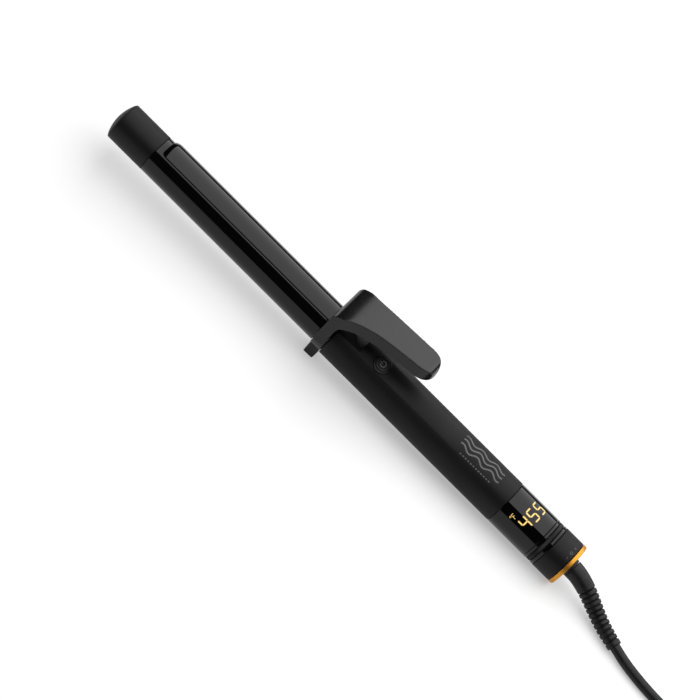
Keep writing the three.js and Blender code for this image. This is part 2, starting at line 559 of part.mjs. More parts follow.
const curlingIron = new THREE.Group();
const iron = new THREE.Group();
iron.rotation.y = LEAN;
iron.position.copy(
  new THREE.Vector3(FOOT.contact, 0, FOOT.bottom).applyEuler(iron.rotation).negate(),
);
curlingIron.add(iron);
barrelPieces(iron);
clipPieces(iron, LEAN);
handlePieces(iron);
dialPieces(iron);
cordPieces(curlingIron);

export default curlingIron;
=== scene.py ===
"""Finished surfaces of the curling iron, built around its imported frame.

Lengths are in millimetres in the iron's own axes unless a name says otherwise: x runs along the
iron from the clip's pivot toward the cord, y across it, and z up from the barrel's axis. The cord
lies in the frame that stands on the surface. Angles round the iron start at its top and grow
toward the side with the button.
"""
from __future__ import annotations

import json
import logging
import math
from dataclasses import dataclass, field
from enum import Enum
from typing import Callable, Iterable, Sequence

import bmesh
import bpy
from mathutils import Matrix, Vector


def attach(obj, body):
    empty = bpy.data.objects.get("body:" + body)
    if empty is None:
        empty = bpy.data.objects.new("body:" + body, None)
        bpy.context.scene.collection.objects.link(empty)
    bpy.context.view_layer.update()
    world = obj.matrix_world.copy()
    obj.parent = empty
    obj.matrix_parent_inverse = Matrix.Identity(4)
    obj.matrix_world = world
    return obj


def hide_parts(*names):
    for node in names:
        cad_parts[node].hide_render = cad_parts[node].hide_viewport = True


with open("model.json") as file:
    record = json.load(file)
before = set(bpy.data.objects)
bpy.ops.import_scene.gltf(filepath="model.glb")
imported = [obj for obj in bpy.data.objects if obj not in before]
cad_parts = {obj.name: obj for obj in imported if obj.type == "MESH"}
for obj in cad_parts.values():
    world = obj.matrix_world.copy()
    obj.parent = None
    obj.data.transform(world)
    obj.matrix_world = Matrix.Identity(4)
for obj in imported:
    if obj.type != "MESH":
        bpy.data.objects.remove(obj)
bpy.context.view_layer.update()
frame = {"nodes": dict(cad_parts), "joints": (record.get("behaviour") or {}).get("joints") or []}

log = logging.getLogger("curling_iron")

MM = 0.001
PIN_HEIGHT = 4.0  # the clip's pin over the barrel's axis
PIN_BORE = 1.9  # the radius of the pin's holes
HANDLE_RADIUS = 14.8
BUTTON_AT = 36.6  # the power button's place along the handle
MERIDIAN = math.radians(23)  # how far round the handle the button faces
TURNED_SIDES = 144
PRINT_LIFT = 0.015  # how far prints and marks stand over the surface

Point2 = tuple[float, float]
Point3 = tuple[float, float, float]
Colour = tuple[float, float, float]


class Body(Enum):
    """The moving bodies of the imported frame."""

    HANDLE = "handle"
    CLIP = "clip"
    BUTTON = "button"
    DIAL = "dial"
    SWIVEL = "swivel"


# ---------------------------------------------------------------- places
@dataclass(frozen=True)
class IronSpace:
    """The iron's own axes, placed in the frame that stands on the surface.

    Attributes:
        matrix: takes metres in the iron's axes to metres in the standing frame.
    """

    matrix: Matrix

    @classmethod
    def from_joints(cls, joints: Sequence[dict]) -> "IronSpace":
        """Finds the axes from the swivel's axis and the clip's pivot.

        Args:
            joints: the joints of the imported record.

        Returns:
            The space whose x is the iron's axis and whose origin is under the pivot.
        """
        known = {joint["name"]: joint for joint in joints}
        along = Vector(known["cord_swivel"]["axis"]).normalized()
        across = Vector((0, 1, 0))
        up = along.cross(across)
        origin = Vector(known["clip_hinge"]["pos_m"]) - up * PIN_HEIGHT * MM
        matrix = Matrix((along, across, up)).transposed().to_4x4()
        matrix.translation = origin
        return cls(matrix)

    def point(self, x: float, y: float, z: float) -> Vector:
        """A point of the iron in the standing frame, in metres."""
        return self.matrix @ (Vector((x, y, z)) * MM)


STANDING = IronSpace(Matrix.Identity(4))
IRON = IronSpace.from_joints(frame["joints"])
BUTTON_PLACE = Matrix.Rotation(MERIDIAN, 4, "X") @ Matrix.Translation((BUTTON_AT, 0, 0))


# ---------------------------------------------------------------- outlines
def arc(centre: Point2, radius: float, start: float, end: float, steps: int) -> list[Point2]:
    """Points of an arc.

    Args:
        centre: the arc's centre.
        radius: its radius.
        start: its first angle in degrees.
        end: its last angle in degrees.
        steps: how many stretches it has.

    Returns:
        The points, both ends included.
    """
    turns = [math.radians(start + (end - start) * i / steps) for i in range(steps + 1)]
    return [(centre[0] + radius * math.cos(t), centre[1] + radius * math.sin(t)) for t in turns]


def softened(points: Sequence[Point2], radius: float, steps: int = 4, closed: bool = True) -> list[Point2]:
    """Rounds the corners of an outline.

    Args:
        points: the outline's corners.
        radius: the rounding, made smaller where an edge is short.
        steps: stretches in each rounding.
        closed: whether the last point joins the first.

    Returns:
        The outline with each sharp corner drawn as a short curve.
    """
    count = len(points)
    result: list[Point2] = []
    for i, here in enumerate(points):
        if not closed and i in (0, count - 1):
            result.append(tuple(here))
            continue
        corner = Vector(here)
        before, after = Vector(points[i - 1]) - corner, Vector(points[(i + 1) % count]) - corner
        reach = min(radius, 0.45 * before.length, 0.45 * after.length)
        if reach < 1e-4 or before.angle(after, math.pi) > math.radians(172):
            result.append(tuple(corner))
            continue
        first, last = corner + before.normalized() * reach, corner + after.normalized() * reach
        for k in range(steps + 1):
            t = k / steps
            result.append(tuple(first * (1 - t) ** 2 + corner * 2 * t * (1 - t) + last * t * t))
    return result


def smooth_line(points: Sequence[Sequence[float]], step: float) -> list[Vector]:
    """A smooth curve through given points, cut into even stretches.

    Args:
        points: the points that the curve passes through.
        step: the length of a stretch.

    Returns:
        Points along the curve, both ends included.
    """
    knots = [Vector(p) for p in points]
    knots = [2 * knots[0] - knots[1], *knots, 2 * knots[-1] - knots[-2]]
    dense: list[Vector] = []
    for a, b, c, d in zip(knots, knots[1:], knots[2:], knots[3:]):
        for k in range(24):
            t = k / 24
            dense.append(0.5 * (2 * b + (c - a) * t + (2 * a - 5 * b + 4 * c - d) * t * t
                                + (3 * b - a - 3 * c + d) * t * t * t))
    dense.append(knots[-2])
    return evenly_spaced(dense, step)


def evenly_spaced(line: Sequence[Vector], step: float) -> list[Vector]:
    """The same line with its points an even distance apart.

    Args:
        line: the points of a line.
        step: about how far apart the new points are.

    Returns:
        New points on the line, both ends included.
    """
    reach = [0.0]
    for a, b in zip(line, line[1:]):
        reach.append(reach[-1] + (b - a).length)
    count = max(2, round(reach[-1] / step))
    result, i = [], 0
    for k in range(count + 1):
        goal = reach[-1] * k / count
        while i < len(line) - 2 and reach[i + 1] < goal:
            i += 1
        share = (goal - reach[i]) / max(reach[i + 1] - reach[i], 1e-9)
        result.append(line[i].lerp(line[i + 1], min(max(share, 0), 1)))
    return result


def line_length(line: Sequence[Vector]) -> float:
    """The length of a line of points."""
    return sum((b - a).length for a, b in zip(line, line[1:]))


# ---------------------------------------------------------------- meshes
class Draft:
    """A mesh in the making, in millimetres."""

    def __init__(self) -> None:
        """Starts an empty mesh."""
        self.points: list[Vector] = []
        self.faces: list[tuple[int, ...]] = []

    def ring(self, points: Iterable[Sequence[float]]) -> list[int]:
        """Adds points and returns their numbers."""
        start = len(self.points)
        self.points.extend(Vector(p) for p in points)
        return list(range(start, len(self.points)))

    def bridge(self, first: Sequence[int], second: Sequence[int], closed: bool = True) -> None:
        """Joins two rows of points with quads, or triangles where a row is one point.

        Args:
            first: the first row.
            second: the second row.
            closed: whether each row's end joins its start.
        """
        count = max(len(first), len(second))
        for i in range(count if closed else count - 1):
            j = (i + 1) % count
            a, b = first[i % len(first)], first[j % len(first)]
            c, d = second[j % len(second)], second[i % len(second)]
            face = [n for k, n in enumerate((a, b, c, d)) if n not in (a, b, c, d)[:k]]
            if len(face) > 2:
                self.faces.append(tuple(face))

    def cap(self, ring: Sequence[int]) -> None:
        """Closes a ring with one face."""
        self.faces.append(tuple(ring))

    def moved(self, matrix: Matrix) -> "Draft":
        """This mesh with every point moved by a matrix."""
        self.points = [matrix @ p for p in self.points]
        return self

    def add(self, other: "Draft") -> "Draft":
        """Adds another mesh to this one."""
        start = len(self.points)
        self.points.extend(other.points)
        self.faces.extend(tuple(n + start for n in face) for face in other.faces)
        return self

    def to_object(self, name: str, space: IronSpace = IRON, sharp: float = 40) -> bpy.types.Object:
        """Makes the Blender object.

        Args:
            name: the piece's name.
            space: the axes that the points are in.
            sharp: edges that turn by more than this many degrees stay crisp.

        Returns:
            The new object, with smooth faces that look outward.
        """
        mesh = bpy.data.meshes.new(name)
        mesh.from_pydata([space.matrix @ (p * MM) for p in self.points], [], self.faces)
        return finished_object(name, mesh, sharp)


def finished_object(name: str, mesh: bpy.types.Mesh, sharp: float) -> bpy.types.Object:
    """Cleans a mesh, shades it and puts it in the scene.

    Args:
        name: the object's name.
        mesh: the mesh, whose faces may look either way.
        sharp: edges that turn by more than this many degrees stay crisp.

    Returns:
        The object that holds the mesh.
    """
    work = bmesh.new()
    work.from_mesh(mesh)
    bmesh.ops.remove_doubles(work, verts=work.verts, dist=1e-7)
    bmesh.ops.recalc_face_normals(work, faces=work.faces)
    work.to_mesh(mesh)
    work.free()
    mesh.shade_smooth()
    mesh.set_sharp_from_angle(angle=math.radians(sharp))
    piece = bpy.data.objects.new(name, mesh)
    bpy.context.scene.collection.objects.link(piece)
    return piece


def turned(outline: Sequence[Point2], sides: int = TURNED_SIDES, closed: bool = True) -> Draft:
    """A turned solid about the x axis.

    Args:
        outline: points as (radius, x).
        sides: how many flats stand for a full turn.
        closed: whether the outline's end joins its start; an outline that ends on the axis doesn't.

    Returns:
        The mesh.
    """
    draft = Draft()
    rows = []
    for radius, x in outline:
        if radius < 1e-6:
            rows.append(draft.ring([(x, 0, 0)]))
            continue
        turns = [2 * math.pi * k / sides for k in range(sides)]
        rows.append(draft.ring((x, radius * math.sin(t), radius * math.cos(t)) for t in turns))
    for a, b in zip(rows, rows[1:] + rows[:1] if closed else rows[1:]):
        draft.bridge(a, b)
    return draft


def sleeve(front: float, rear: float, outer: float, inner: float, rounding: float = 0.3) -> Draft:
    """A round tube with softened rims."""
    outline = softened([(inner, front), (outer, front), (outer, rear), (inner, rear)], rounding)
    return turned(outline)


def upright(outline: Sequence[Point2], sides: int = 64) -> Draft:
    """A turned solid about the z axis from (radius, z) points that start and end on the axis."""
    return turned(outline, sides, closed=False).moved(Matrix.Rotation(-math.pi / 2, 4, "Y"))


def upright_ring(outline: Sequence[Point2], sides: int = 96) -> Draft:
    """A turned ring about the z axis from a closed outline of (radius, z) points."""
    return turned(outline, sides).moved(Matrix.Rotation(-math.pi / 2, 4, "Y"))


def on_pin(outline: Sequence[Point2], sides: int) -> Draft:
    """A turned solid on the clip's pin from (radius, y) points that start and end on its axis."""
    across = Matrix.Translation((0, 0, PIN_HEIGHT)) @ Matrix.Rotation(math.pi / 2, 4, "Z")
    return turned(outline, sides, closed=False).moved(across)


def pin_hole(half: float) -> Draft:
    """The rod that cuts the pin's hole, out to a half-width on both sides."""
    return on_pin([(0, -half), (PIN_BORE, -half), (PIN_BORE, half), (0, half)], 32)


def prism(outline: Sequence[Point2], low: float, high: float,
          place: Callable[[float, float, float], Point3]) -> Draft:
    """A flat outline drawn out into a solid.

    Args:
        outline: the outline's points.
        low: where it starts.
        high: where it ends.
        place: turns (first, second, height) into x, y and z.

    Returns:
        The closed mesh.
    """
    draft = Draft()
    bottom = draft.ring(place(a, b, low) for a, b in outline)
    top = draft.ring(place(a, b, high) for a, b in outline)
    draft.bridge(bottom, top)
    draft.cap(bottom)
    draft.cap(top)
    return draft


def from_side(outline: Sequence[Point2], half_width: float) -> Draft:
    """A side outline of (x, z) points reaching to both sides."""
    return prism(outline, -half_width, half_width, lambda x, z, y: (x, y, z))


def from_above(outline: Sequence[Point2], low: float, high: float) -> Draft:
    """An outline of (x, y) points seen from above, between two heights."""
    return prism(outline, low, high, lambda x, y, z: (x, y, z))


def from_end(outline: Sequence[Point2], front: float, rear: float) -> Draft:
    """A section of (y, z) points drawn out along x."""
    return prism(outline, front, rear, lambda y, z, x: (x, y, z))


def block(x0: float, x1: float, y0: float, y1: float, z0: float, z1: float) -> Draft:
    """A plain box, used to cut other pieces."""
    return from_above([(x0, y0), (x1, y0), (x1, y1), (x0, y1)], z0, z1)


def swept(line: Sequence[Vector], section: Callable[[float, float], float], sides: int) -> Draft:
    """A tube along a line.

    Args:
        line: the centre line.
        section: the radius, from the distance along the line and the angle round it.
        sides: how many flats stand for a full turn.

    Returns:
        The closed mesh.
    """
    draft = Draft()
    heading = (line[1] - line[0]).normalized()
    across = heading.cross(Vector((0, 0, 1))).normalized()
    rows, gone = [], 0.0
    for i, here in enumerate(line):
        ahead = line[min(i + 1, len(line) - 1)] - line[max(i - 1, 0)]
        turn = heading.rotation_difference(ahead.normalized())
        across, heading = turn @ across, ahead.normalized()
        over = heading.cross(across)
        gone += (here - line[i - 1]).length if i else 0.0
        turns = [2 * math.pi * k / sides for k in range(sides)]
        rows.append(draft.ring(here + (across * math.cos(t) + over * math.sin(t)) * section(gone, t) for t in turns))
    for a, b in zip(rows, rows[1:]):
        draft.bridge(a, b)
    draft.cap(rows[0])
    draft.cap(rows[-1])
    return draft


def baked(piece: bpy.types.Object) -> bpy.types.Mesh:
    """The mesh that a piece's modifiers make."""
    graph = bpy.context.evaluated_depsgraph_get()
    return bpy.data.meshes.new_from_object(piece.evaluated_get(graph))


def carved(name: str, body: Draft, joined: Sequence[Draft] = (), removed: Sequence[Draft] = (),
           kept: Sequence[Draft] = (), space: IronSpace = IRON, sharp: float = 40) -> bpy.types.Object:
    """A solid with others joined to it, kept in common with it, or cut from it.

    Args:
        name: the piece's name.
        body: the solid to start from.
        joined: solids that are added first.
        removed: solids that are then cut away.
        kept: solids outside which nothing is kept.
        space: the axes that the drafts are in.
        sharp: edges that turn by more than this many degrees stay crisp.

    Returns:
        The finished object.
    """
    piece = body.to_object(name, space, sharp)
    tools = []
    for way, drafts in (("UNION", joined), ("INTERSECT", kept), ("DIFFERENCE", removed)):
        for draft in drafts:
            tool = draft.to_object(f"{name}_tool", space, sharp)
            modifier = piece.modifiers.new("carve", "BOOLEAN")
            modifier.operation, modifier.object, modifier.solver = way, tool, "MANIFOLD"
            tools.append(tool)
    mesh = baked(piece)
    for spare in (piece, *tools):
        bpy.data.objects.remove(spare)
    return finished_object(name, mesh, sharp)


def melted(piece: bpy.types.Object, voxel: float, passes: int) -> bpy.types.Object:
    """Gives a carved solid the small even roundings of a moulding.

    Args:
        piece: the solid.
        voxel: the size of the grid that its skin is rebuilt on, in millimetres.
        passes: how often the skin is smoothed.

    Returns:
        The rebuilt object.
    """
    name = piece.name
    remesh = piece.modifiers.new("skin", "REMESH")
    remesh.mode, remesh.voxel_size = "VOXEL", voxel * MM
    smooth = piece.modifiers.new("soften", "SMOOTH")
    smooth.factor, smooth.iterations = 0.5, passes
    mesh = baked(piece)
    bpy.data.objects.remove(piece)
    return finished_object(name, mesh, 180)


# ---------------------------------------------------------------- finishes
class ShaderGraph:
    """Short ways to lay out the nodes of one material."""

    def __init__(self, name: str) -> None:
        """Starts a material with a principled shader."""
        self.material = bpy.data.materials.new(name)
        self.material.use_nodes = True
        self.nodes = self.material.node_tree.nodes
        self.links = self.material.node_tree.links
        self.shader = self.nodes["Principled BSDF"]
        self.place = self.node("ShaderNodeTexCoord").outputs["Object"]

    def node(self, kind: str, **sockets: object) -> bpy.types.Node:
        """Adds a node.

        Args:
            kind: Blender's name for the node's type.
            **sockets: values or outputs for its inputs, with _ for a space.

        Returns:
            The node.
        """
        made = self.nodes.new(kind)
        for key, value in sockets.items():
            self.feed(made.inputs[key.replace("_", " ")], value)
        return made

    def feed(self, socket: bpy.types.NodeSocket, value: object) -> None:
        """Gives a socket a value, or links an output to it."""
        if isinstance(value, bpy.types.NodeSocket):
            self.links.new(value, socket)
        else:
            socket.default_value = value

    def noise(self, scale: float, detail: float = 3.0, stretch: Point3 = (1, 1, 1)) -> bpy.types.NodeSocket:
        """A noise pattern.

        Args:
            scale: how many features there are in a metre.
            detail: how many finer layers it has.
            stretch: scales the pattern along x, y and z.

        Returns:
            The pattern's value.
        """
        spot = self.node("ShaderNodeMapping", Vector=self.place, Scale=stretch)
        return self.node("ShaderNodeTexNoise", Vector=spot.outputs[0], Scale=scale, Detail=detail).outputs["Fac"]

    def ramp(self, value: bpy.types.NodeSocket, low: float, high: float,
             to_low: float, to_high: float) -> bpy.types.NodeSocket:
        """Takes a value from one range to another."""
        made = self.node("ShaderNodeMapRange", Value=value, From_Min=low, From_Max=high, To_Min=to_low, To_Max=to_high)
        return made.outputs["Result"]

    def blend(self, share: bpy.types.NodeSocket, first: Colour, second: Colour) -> bpy.types.NodeSocket:
        """Mixes two colours."""
        made = self.nodes.new("ShaderNodeMix")
        made.data_type = "RGBA"
        self.feed(made.inputs[0], share)
        self.feed(made.inputs[6], (*first, 1))
        self.feed(made.inputs[7], (*second, 1))
        return made.outputs[2]

    def bump(self, height: bpy.types.NodeSocket, depth: float) -> None:
        """Raises the surface by a pattern, to a depth in millimetres."""
        made = self.node("ShaderNodeBump", Height=height, Distance=depth * MM, Strength=1.0)
        self.feed(self.shader.inputs["Normal"], made.outputs["Normal"])

    def set(self, **sockets: object) -> None:
        """Sets the shader's own sockets, with _ for a space."""
        for key, value in sockets.items():
            self.feed(self.shader.inputs[key.replace("_", " ")], value)


@dataclass(frozen=True)
class Finish:
    """What every finish has.

    Attributes:
        name: the material's name.
        colour: its base colour, linear.
    """

    name: str
    colour: Colour

    def material(self) -> bpy.types.Material:
        """The material, made once and then shared."""
        title = f"{self.name}_look"
        return bpy.data.materials.get(title) or self.make(ShaderGraph(title))

    def make(self, graph: ShaderGraph) -> bpy.types.Material:
        """Lays out the nodes.

        Args:
            graph: the new material's nodes.

        Returns:
            The material.
        """
        raise NotImplementedError


@dataclass(frozen=True)
class MouldedPlastic(Finish):
    """Moulded or soft-touch plastic with a fine spark-eroded grain.

    Attributes:
        roughness: how matte it is.
        specular: how strong its sheen is, where 0.5 is the usual one.
        grain: grain features in a metre.
        depth: the grain's depth in millimetres.
        mottle: how much lighter the cloudier patches are.
        handled: how much the roughness changes where hands polish it.
    """

    roughness: float = 0.5
    specular: float = 0.5
    grain: float = 2600
    depth: float = 0.012
    mottle: float = 0.35
    handled: float = 0.06

    def make(self, graph: ShaderGraph) -> bpy.types.Material:
        """Lays out the grain, the cloudy colour and the worn sheen."""
        cloud = graph.noise(45, 4)
        lighter = tuple(c * (1 + self.mottle) for c in self.colour)
        graph.set(Base_Color=graph.blend(graph.ramp(cloud, 0.35, 0.7, 0, 1), self.colour, lighter))
        wear = graph.noise(28, 2)
        graph.set(Roughness=graph.ramp(wear, 0.3, 0.7, self.roughness - self.handled, self.roughness + self.handled))
        graph.set(Specular_IOR_Level=self.specular)
        graph.bump(graph.noise(self.grain, 2), self.depth)
        return graph.material


@dataclass(frozen=True)
class GlossCoating(Finish):
    """A glossy black coating with faint orange peel and finger marks.

    Attributes:
        roughness: how blurred its reflections are.
        specular: how strong they are, where 0.5 is the usual strength.
        peel: the depth of the orange peel in millimetres.
        smears: how much rougher the finger marks are.
    """

    roughness: float = 0.12
    specular: float = 0.27
    peel: float = 0.0015
    smears: float = 0.05

    def make(self, graph: ShaderGraph) -> bpy.types.Material:
        """Lays out the finger marks, faint dust and orange peel."""
        marks = graph.ramp(graph.noise(60, 5, (0.5, 1, 1)), 0.48, 0.75, 0, 1)
        graph.set(Base_Color=graph.blend(marks, self.colour, tuple(c * 1.5 for c in self.colour)))
        graph.set(Roughness=graph.ramp(marks, 0, 1, self.roughness, self.roughness + self.smears))
        graph.set(Specular_IOR_Level=self.specular)
        graph.bump(graph.noise(420, 2), self.peel)
        return graph.material


@dataclass(frozen=True)
class WorkedMetal(Finish):
    """Metal with turning or brushing lines.

    Attributes:
        roughness: how matte it is.
        lines: how many lines there are in a metre.
        stretch: scales the lines' pattern along x, y and z.
        depth: their depth in millimetres.
    """

    roughness: float = 0.25
    lines: float = 900
    stretch: Point3 = (6, 0.4, 0.4)
    depth: float = 0.002

    def make(self, graph: ShaderGraph) -> bpy.types.Material:
        """Lays out the lines and a faint change of tone."""
        lines = graph.noise(self.lines, 3, self.stretch)
        graph.set(Metallic=1.0)
        deeper = tuple(c * 0.82 for c in self.colour)
        graph.set(Base_Color=graph.blend(graph.ramp(graph.noise(120), 0.3, 0.7, 0, 1), self.colour, deeper))
        graph.set(Roughness=graph.ramp(lines, 0.3, 0.7, self.roughness * 0.8, self.roughness * 1.3))
        graph.bump(lines, self.depth)
        return graph.material


@dataclass(frozen=True)
class Rubber(Finish):
    """Flexible cord jacket with a dull bloom and small scuffs.

    Attributes:
        roughness: how matte it is.
    """

    roughness: float = 0.55

    def make(self, graph: ShaderGraph) -> bpy.types.Material:
        """Lays out the bloom, the scuffs and a fine skin."""
        bloom = graph.ramp(graph.noise(90, 5), 0.45, 0.75, 0, 1)
        graph.set(Base_Color=graph.blend(bloom, self.colour, tuple(c * 1.6 + 0.003 for c in self.colour)))
        graph.set(Roughness=graph.ramp(graph.noise(200, 3), 0.3, 0.7, self.roughness - 0.08, self.roughness + 0.1))
        graph.set(Specular_IOR_Level=0.25)
        graph.bump(graph.noise(3200, 3), 0.01)
        return graph.material


@dataclass(frozen=True)
class Woven(Finish):
    """Woven sleeve or strap.

    Attributes:
        threads: threads in a metre.
        depth: the weave's depth in millimetres.
    """

    threads: float = 1500
    depth: float = 0.08

    def make(self, graph: ShaderGraph) -> bpy.types.Material:
        """Lays out crossing threads, with painted shade in the gaps between them."""
        heights = []
        for turn in (math.radians(45), math.radians(-45)):
            spot = graph.node("ShaderNodeMapping", Vector=graph.place, Rotation=(turn, turn, turn))
            wave = graph.node("ShaderNodeTexWave", Vector=spot.outputs[0], Scale=self.threads / 6)
            heights.append(wave.outputs["Fac"])
        crossing = graph.node("ShaderNodeMath", Value=heights[0])
        crossing.operation = "MAXIMUM"
        graph.feed(crossing.inputs[1], heights[1])
        weave = crossing.outputs[0]
        # painted shade: the gaps between the threads are coloured darker than the threads themselves
        graph.set(Base_Color=graph.blend(weave, tuple(c * 0.45 for c in self.colour), self.colour))
        graph.set(Roughness=0.85)
        graph.bump(weave, self.depth)
        return graph.material


@dataclass(frozen=True)
class Ceramic(Finish):
    """Unglazed ceramic with fine pores."""

    def make(self, graph: ShaderGraph) -> bpy.types.Material:
        """Lays out the pores and a warm tint."""
        pores = graph.noise(1800, 4)
        darker = tuple(c * 0.8 for c in self.colour)
        graph.set(Base_Color=graph.blend(graph.ramp(pores, 0.3, 0.6, 0, 1), darker, self.colour))
        graph.set(Roughness=0.7)
        graph.bump(pores, 0.02)
        return graph.material


@dataclass(frozen=True)
class CircuitBoard(Finish):
    """Solder mask with tracks showing through."""

    def make(self, graph: ShaderGraph) -> bpy.types.Material:
        """Lays out straight tracks under the mask."""
        tracks = graph.node("ShaderNodeTexBrick", Vector=graph.place, Scale=180.0, Mortar_Size=0.03)
        share = graph.ramp(tracks.outputs["Fac"], 0, 1, 0, 1)
        graph.set(Base_Color=graph.blend(share, self.colour, tuple(c * 2.2 for c in self.colour)))
        graph.set(Roughness=0.35)
        graph.bump(share, 0.03)
        return graph.material


@dataclass(frozen=True)
class Print(Finish):
    """Pad-printed ink on a curved surface."""

    def make(self, graph: ShaderGraph) -> bpy.types.Material:
        """Lays out slightly uneven ink."""
        ink = graph.ramp(graph.noise(1500, 3), 0.3, 0.7, 0, 1)
        graph.set(Base_Color=graph.blend(ink, self.colour, tuple(c * 0.8 for c in self.colour)))
        graph.set(Roughness=0.5)
        graph.bump(graph.noise(2600), 0.006)
        return graph.material


@dataclass(frozen=True)
class LitSegment(Finish):
    """A lit bar of the read-out behind its smoked window.

    Attributes:
        strength: how bright it is.
    """

    strength: float = 1.0

    def make(self, graph: ShaderGraph) -> bpy.types.Material:
        """Lays out the glow, a little uneven as a diffuser is."""
        uneven = graph.ramp(graph.noise(700, 1), 0.3, 0.7, 0.0, 1.0)
        glow = graph.blend(uneven, self.colour, (self.colour[0], self.colour[1] * 0.9, self.colour[2] * 0.8))
        graph.set(Base_Color=(0.02, 0.015, 0.005, 1), Roughness=0.15)
        graph.set(Emission_Color=glow, Emission_Strength=self.strength)
        return graph.material


@dataclass(frozen=True)
class LightTable(Finish):
    """A matte white table top that is lit a little from below.

    Attributes:
        glow: its own radiance.
    """

    glow: float = 0.3

    def make(self, graph: ShaderGraph) -> bpy.types.Material:
        """Lays out the diffuser, faintly uneven."""
        graph.set(Base_Color=(*self.colour, 1), Roughness=0.95, Specular_IOR_Level=0.1)
        graph.set(Emission_Color=(1, 1, 1, 1), Emission_Strength=self.glow)
        graph.bump(graph.noise(300), 0.01)
        return graph.material


class Finishes:
    """Every finish of the iron, by what it is on."""

    COOL_TIP = MouldedPlastic("cool_tip_plastic", (0.0014, 0.0014, 0.0015), roughness=0.55, specular=0.23,
                              grain=1800, depth=0.015)
    BARREL = GlossCoating("barrel_coating", (0.001, 0.001, 0.0011), roughness=0.06, smears=0.03)
    CLIP = GlossCoating("clip_coating", (0.001, 0.001, 0.0011), roughness=0.07, smears=0.03)
    LEVER = MouldedPlastic("lever_plastic", (0.002, 0.002, 0.0021), roughness=0.3, specular=0.31,
                           grain=3000, depth=0.005)
    HANDLE = MouldedPlastic("handle_soft_touch", (0.0011, 0.0011, 0.0012), roughness=0.56, specular=0.21,
                            grain=2400, depth=0.01)
    # The button's colour is lifted well above the handle's: partly its own lighter plastic, partly painted light that
    # makes up for the lever's shadow on the cap.
    BUTTON = MouldedPlastic("button_plastic", (0.016, 0.016, 0.0164), roughness=0.35, specular=0.35,
                            grain=3000, depth=0.004)
    WINDOW = GlossCoating("window_gloss", (0.0008, 0.0008, 0.0009), roughness=0.025, peel=0.0003, smears=0.015)
    TRIM = GlossCoating("trim_gloss", (0.001, 0.001, 0.0011), roughness=0.08)
    GRIP_RING = MouldedPlastic("grip_ring_plastic", (0.0015, 0.0015, 0.0016), roughness=0.4, specular=0.25, grain=2200)
    DIAL = MouldedPlastic("dial_plastic", (0.0011, 0.0011, 0.0012), roughness=0.56, specular=0.21,
                          grain=2400, depth=0.01)
    GOLD = WorkedMetal("gold_metal", (0.6, 0.27, 0.035), roughness=0.42)
    STEEL = WorkedMetal("plain_steel", (0.62, 0.63, 0.65), roughness=0.3)
    CONTACT = WorkedMetal("contact_brass", (0.82, 0.6, 0.26), roughness=0.22, stretch=(0.4, 6, 6))
    ALUMINIUM = WorkedMetal("spreader_aluminium", (0.7, 0.71, 0.73), roughness=0.36, stretch=(0.3, 5, 5))
    CERAMIC = Ceramic("ceramic_white", (0.78, 0.74, 0.66))
    WIRE = Woven("wire_sleeve", (0.66, 0.6, 0.5), threads=2400, depth=0.05)
    NYLON = MouldedPlastic("nylon_grey", (0.03, 0.03, 0.032), roughness=0.55, grain=1500, depth=0.02)
    BOARD = CircuitBoard("board_green", (0.012, 0.07, 0.03))
    COMPONENT = MouldedPlastic("component_black", (0.012, 0.012, 0.013), roughness=0.4, grain=2000)
    RUBBER = Rubber("cord_rubber", (0.003, 0.003, 0.0031), roughness=0.45)
    STRAP = Woven("tie_strap", (0.02, 0.02, 0.021), threads=1300, depth=0.12)
    GREY_PRINT = Print("grey_print", (0.08, 0.08, 0.082))
    WHITE_PRINT = Print("white_print", (0.3, 0.3, 0.305))
    DIM_PRINT = Print("dim_print", (0.06, 0.06, 0.062))
    SEGMENT = LitSegment("lit_segment", (1.0, 0.84, 0.28), strength=1.0)
    GLOW = LitSegment("segment_glow", (1.0, 0.4, 0.03), strength=0.45)


# ---------------------------------------------------------------- prints and lit shapes
def stroke(points: Sequence[Point2], width: float) -> list[list[Point2]]:
    """A line drawn with a pen, as four-sided shapes end to end.

    Args:
        points: the middle of the line.
        width: the pen's width.

    Returns:
        One shape for each stretch of the line.
    """
    line = [Vector(p) for p in points]
    sides = []
    for i, here in enumerate(line):
        along = (line[min(i + 1, len(line) - 1)] - line[max(i - 1, 0)]).normalized()
        out = Vector((-along.y, along.x)) * width / 2
        sides.append((tuple(here - out), tuple(here + out)))
    return [[a[0], b[0], b[1], a[1]] for a, b in zip(sides, sides[1:])]


def wrapped(shapes: Sequence[Sequence[Point2]], x: float, angle: float, radius: float) -> Draft:
    """Flat shapes bent onto a round surface, read with the tip of the iron up.

    Args:
        shapes: outlines as (right, up), without dents.
        x: where their origin lies along the iron.
        angle: where their origin lies round it, in degrees.
        radius: the radius of the surface that they lie on.

    Returns:
        The curved shapes.
    """
    work = bmesh.new()
    for shape in shapes:
        work.faces.new([work.verts.new((right, up, 0)) for right, up in shape])
    rights = [right for shape in shapes for right, _ in shape]
    for step in range(math.ceil(min(rights) / 0.5), math.floor(max(rights) / 0.5) + 1):
        everything = work.verts[:] + work.edges[:] + work.faces[:]
        bmesh.ops.bisect_plane(work, geom=everything, plane_co=(step * 0.5, 0, 0), plane_no=(1, 0, 0))
    work.verts.index_update()
    draft = Draft()
    for vert in work.verts:
        turn = math.radians(angle) - vert.co.x / radius
        draft.points.append(Vector((x - vert.co.y, -radius * math.sin(turn), radius * math.cos(turn))))
    draft.faces = [tuple(vert.index for vert in face.verts) for face in work.faces]
    work.free()
    return draft


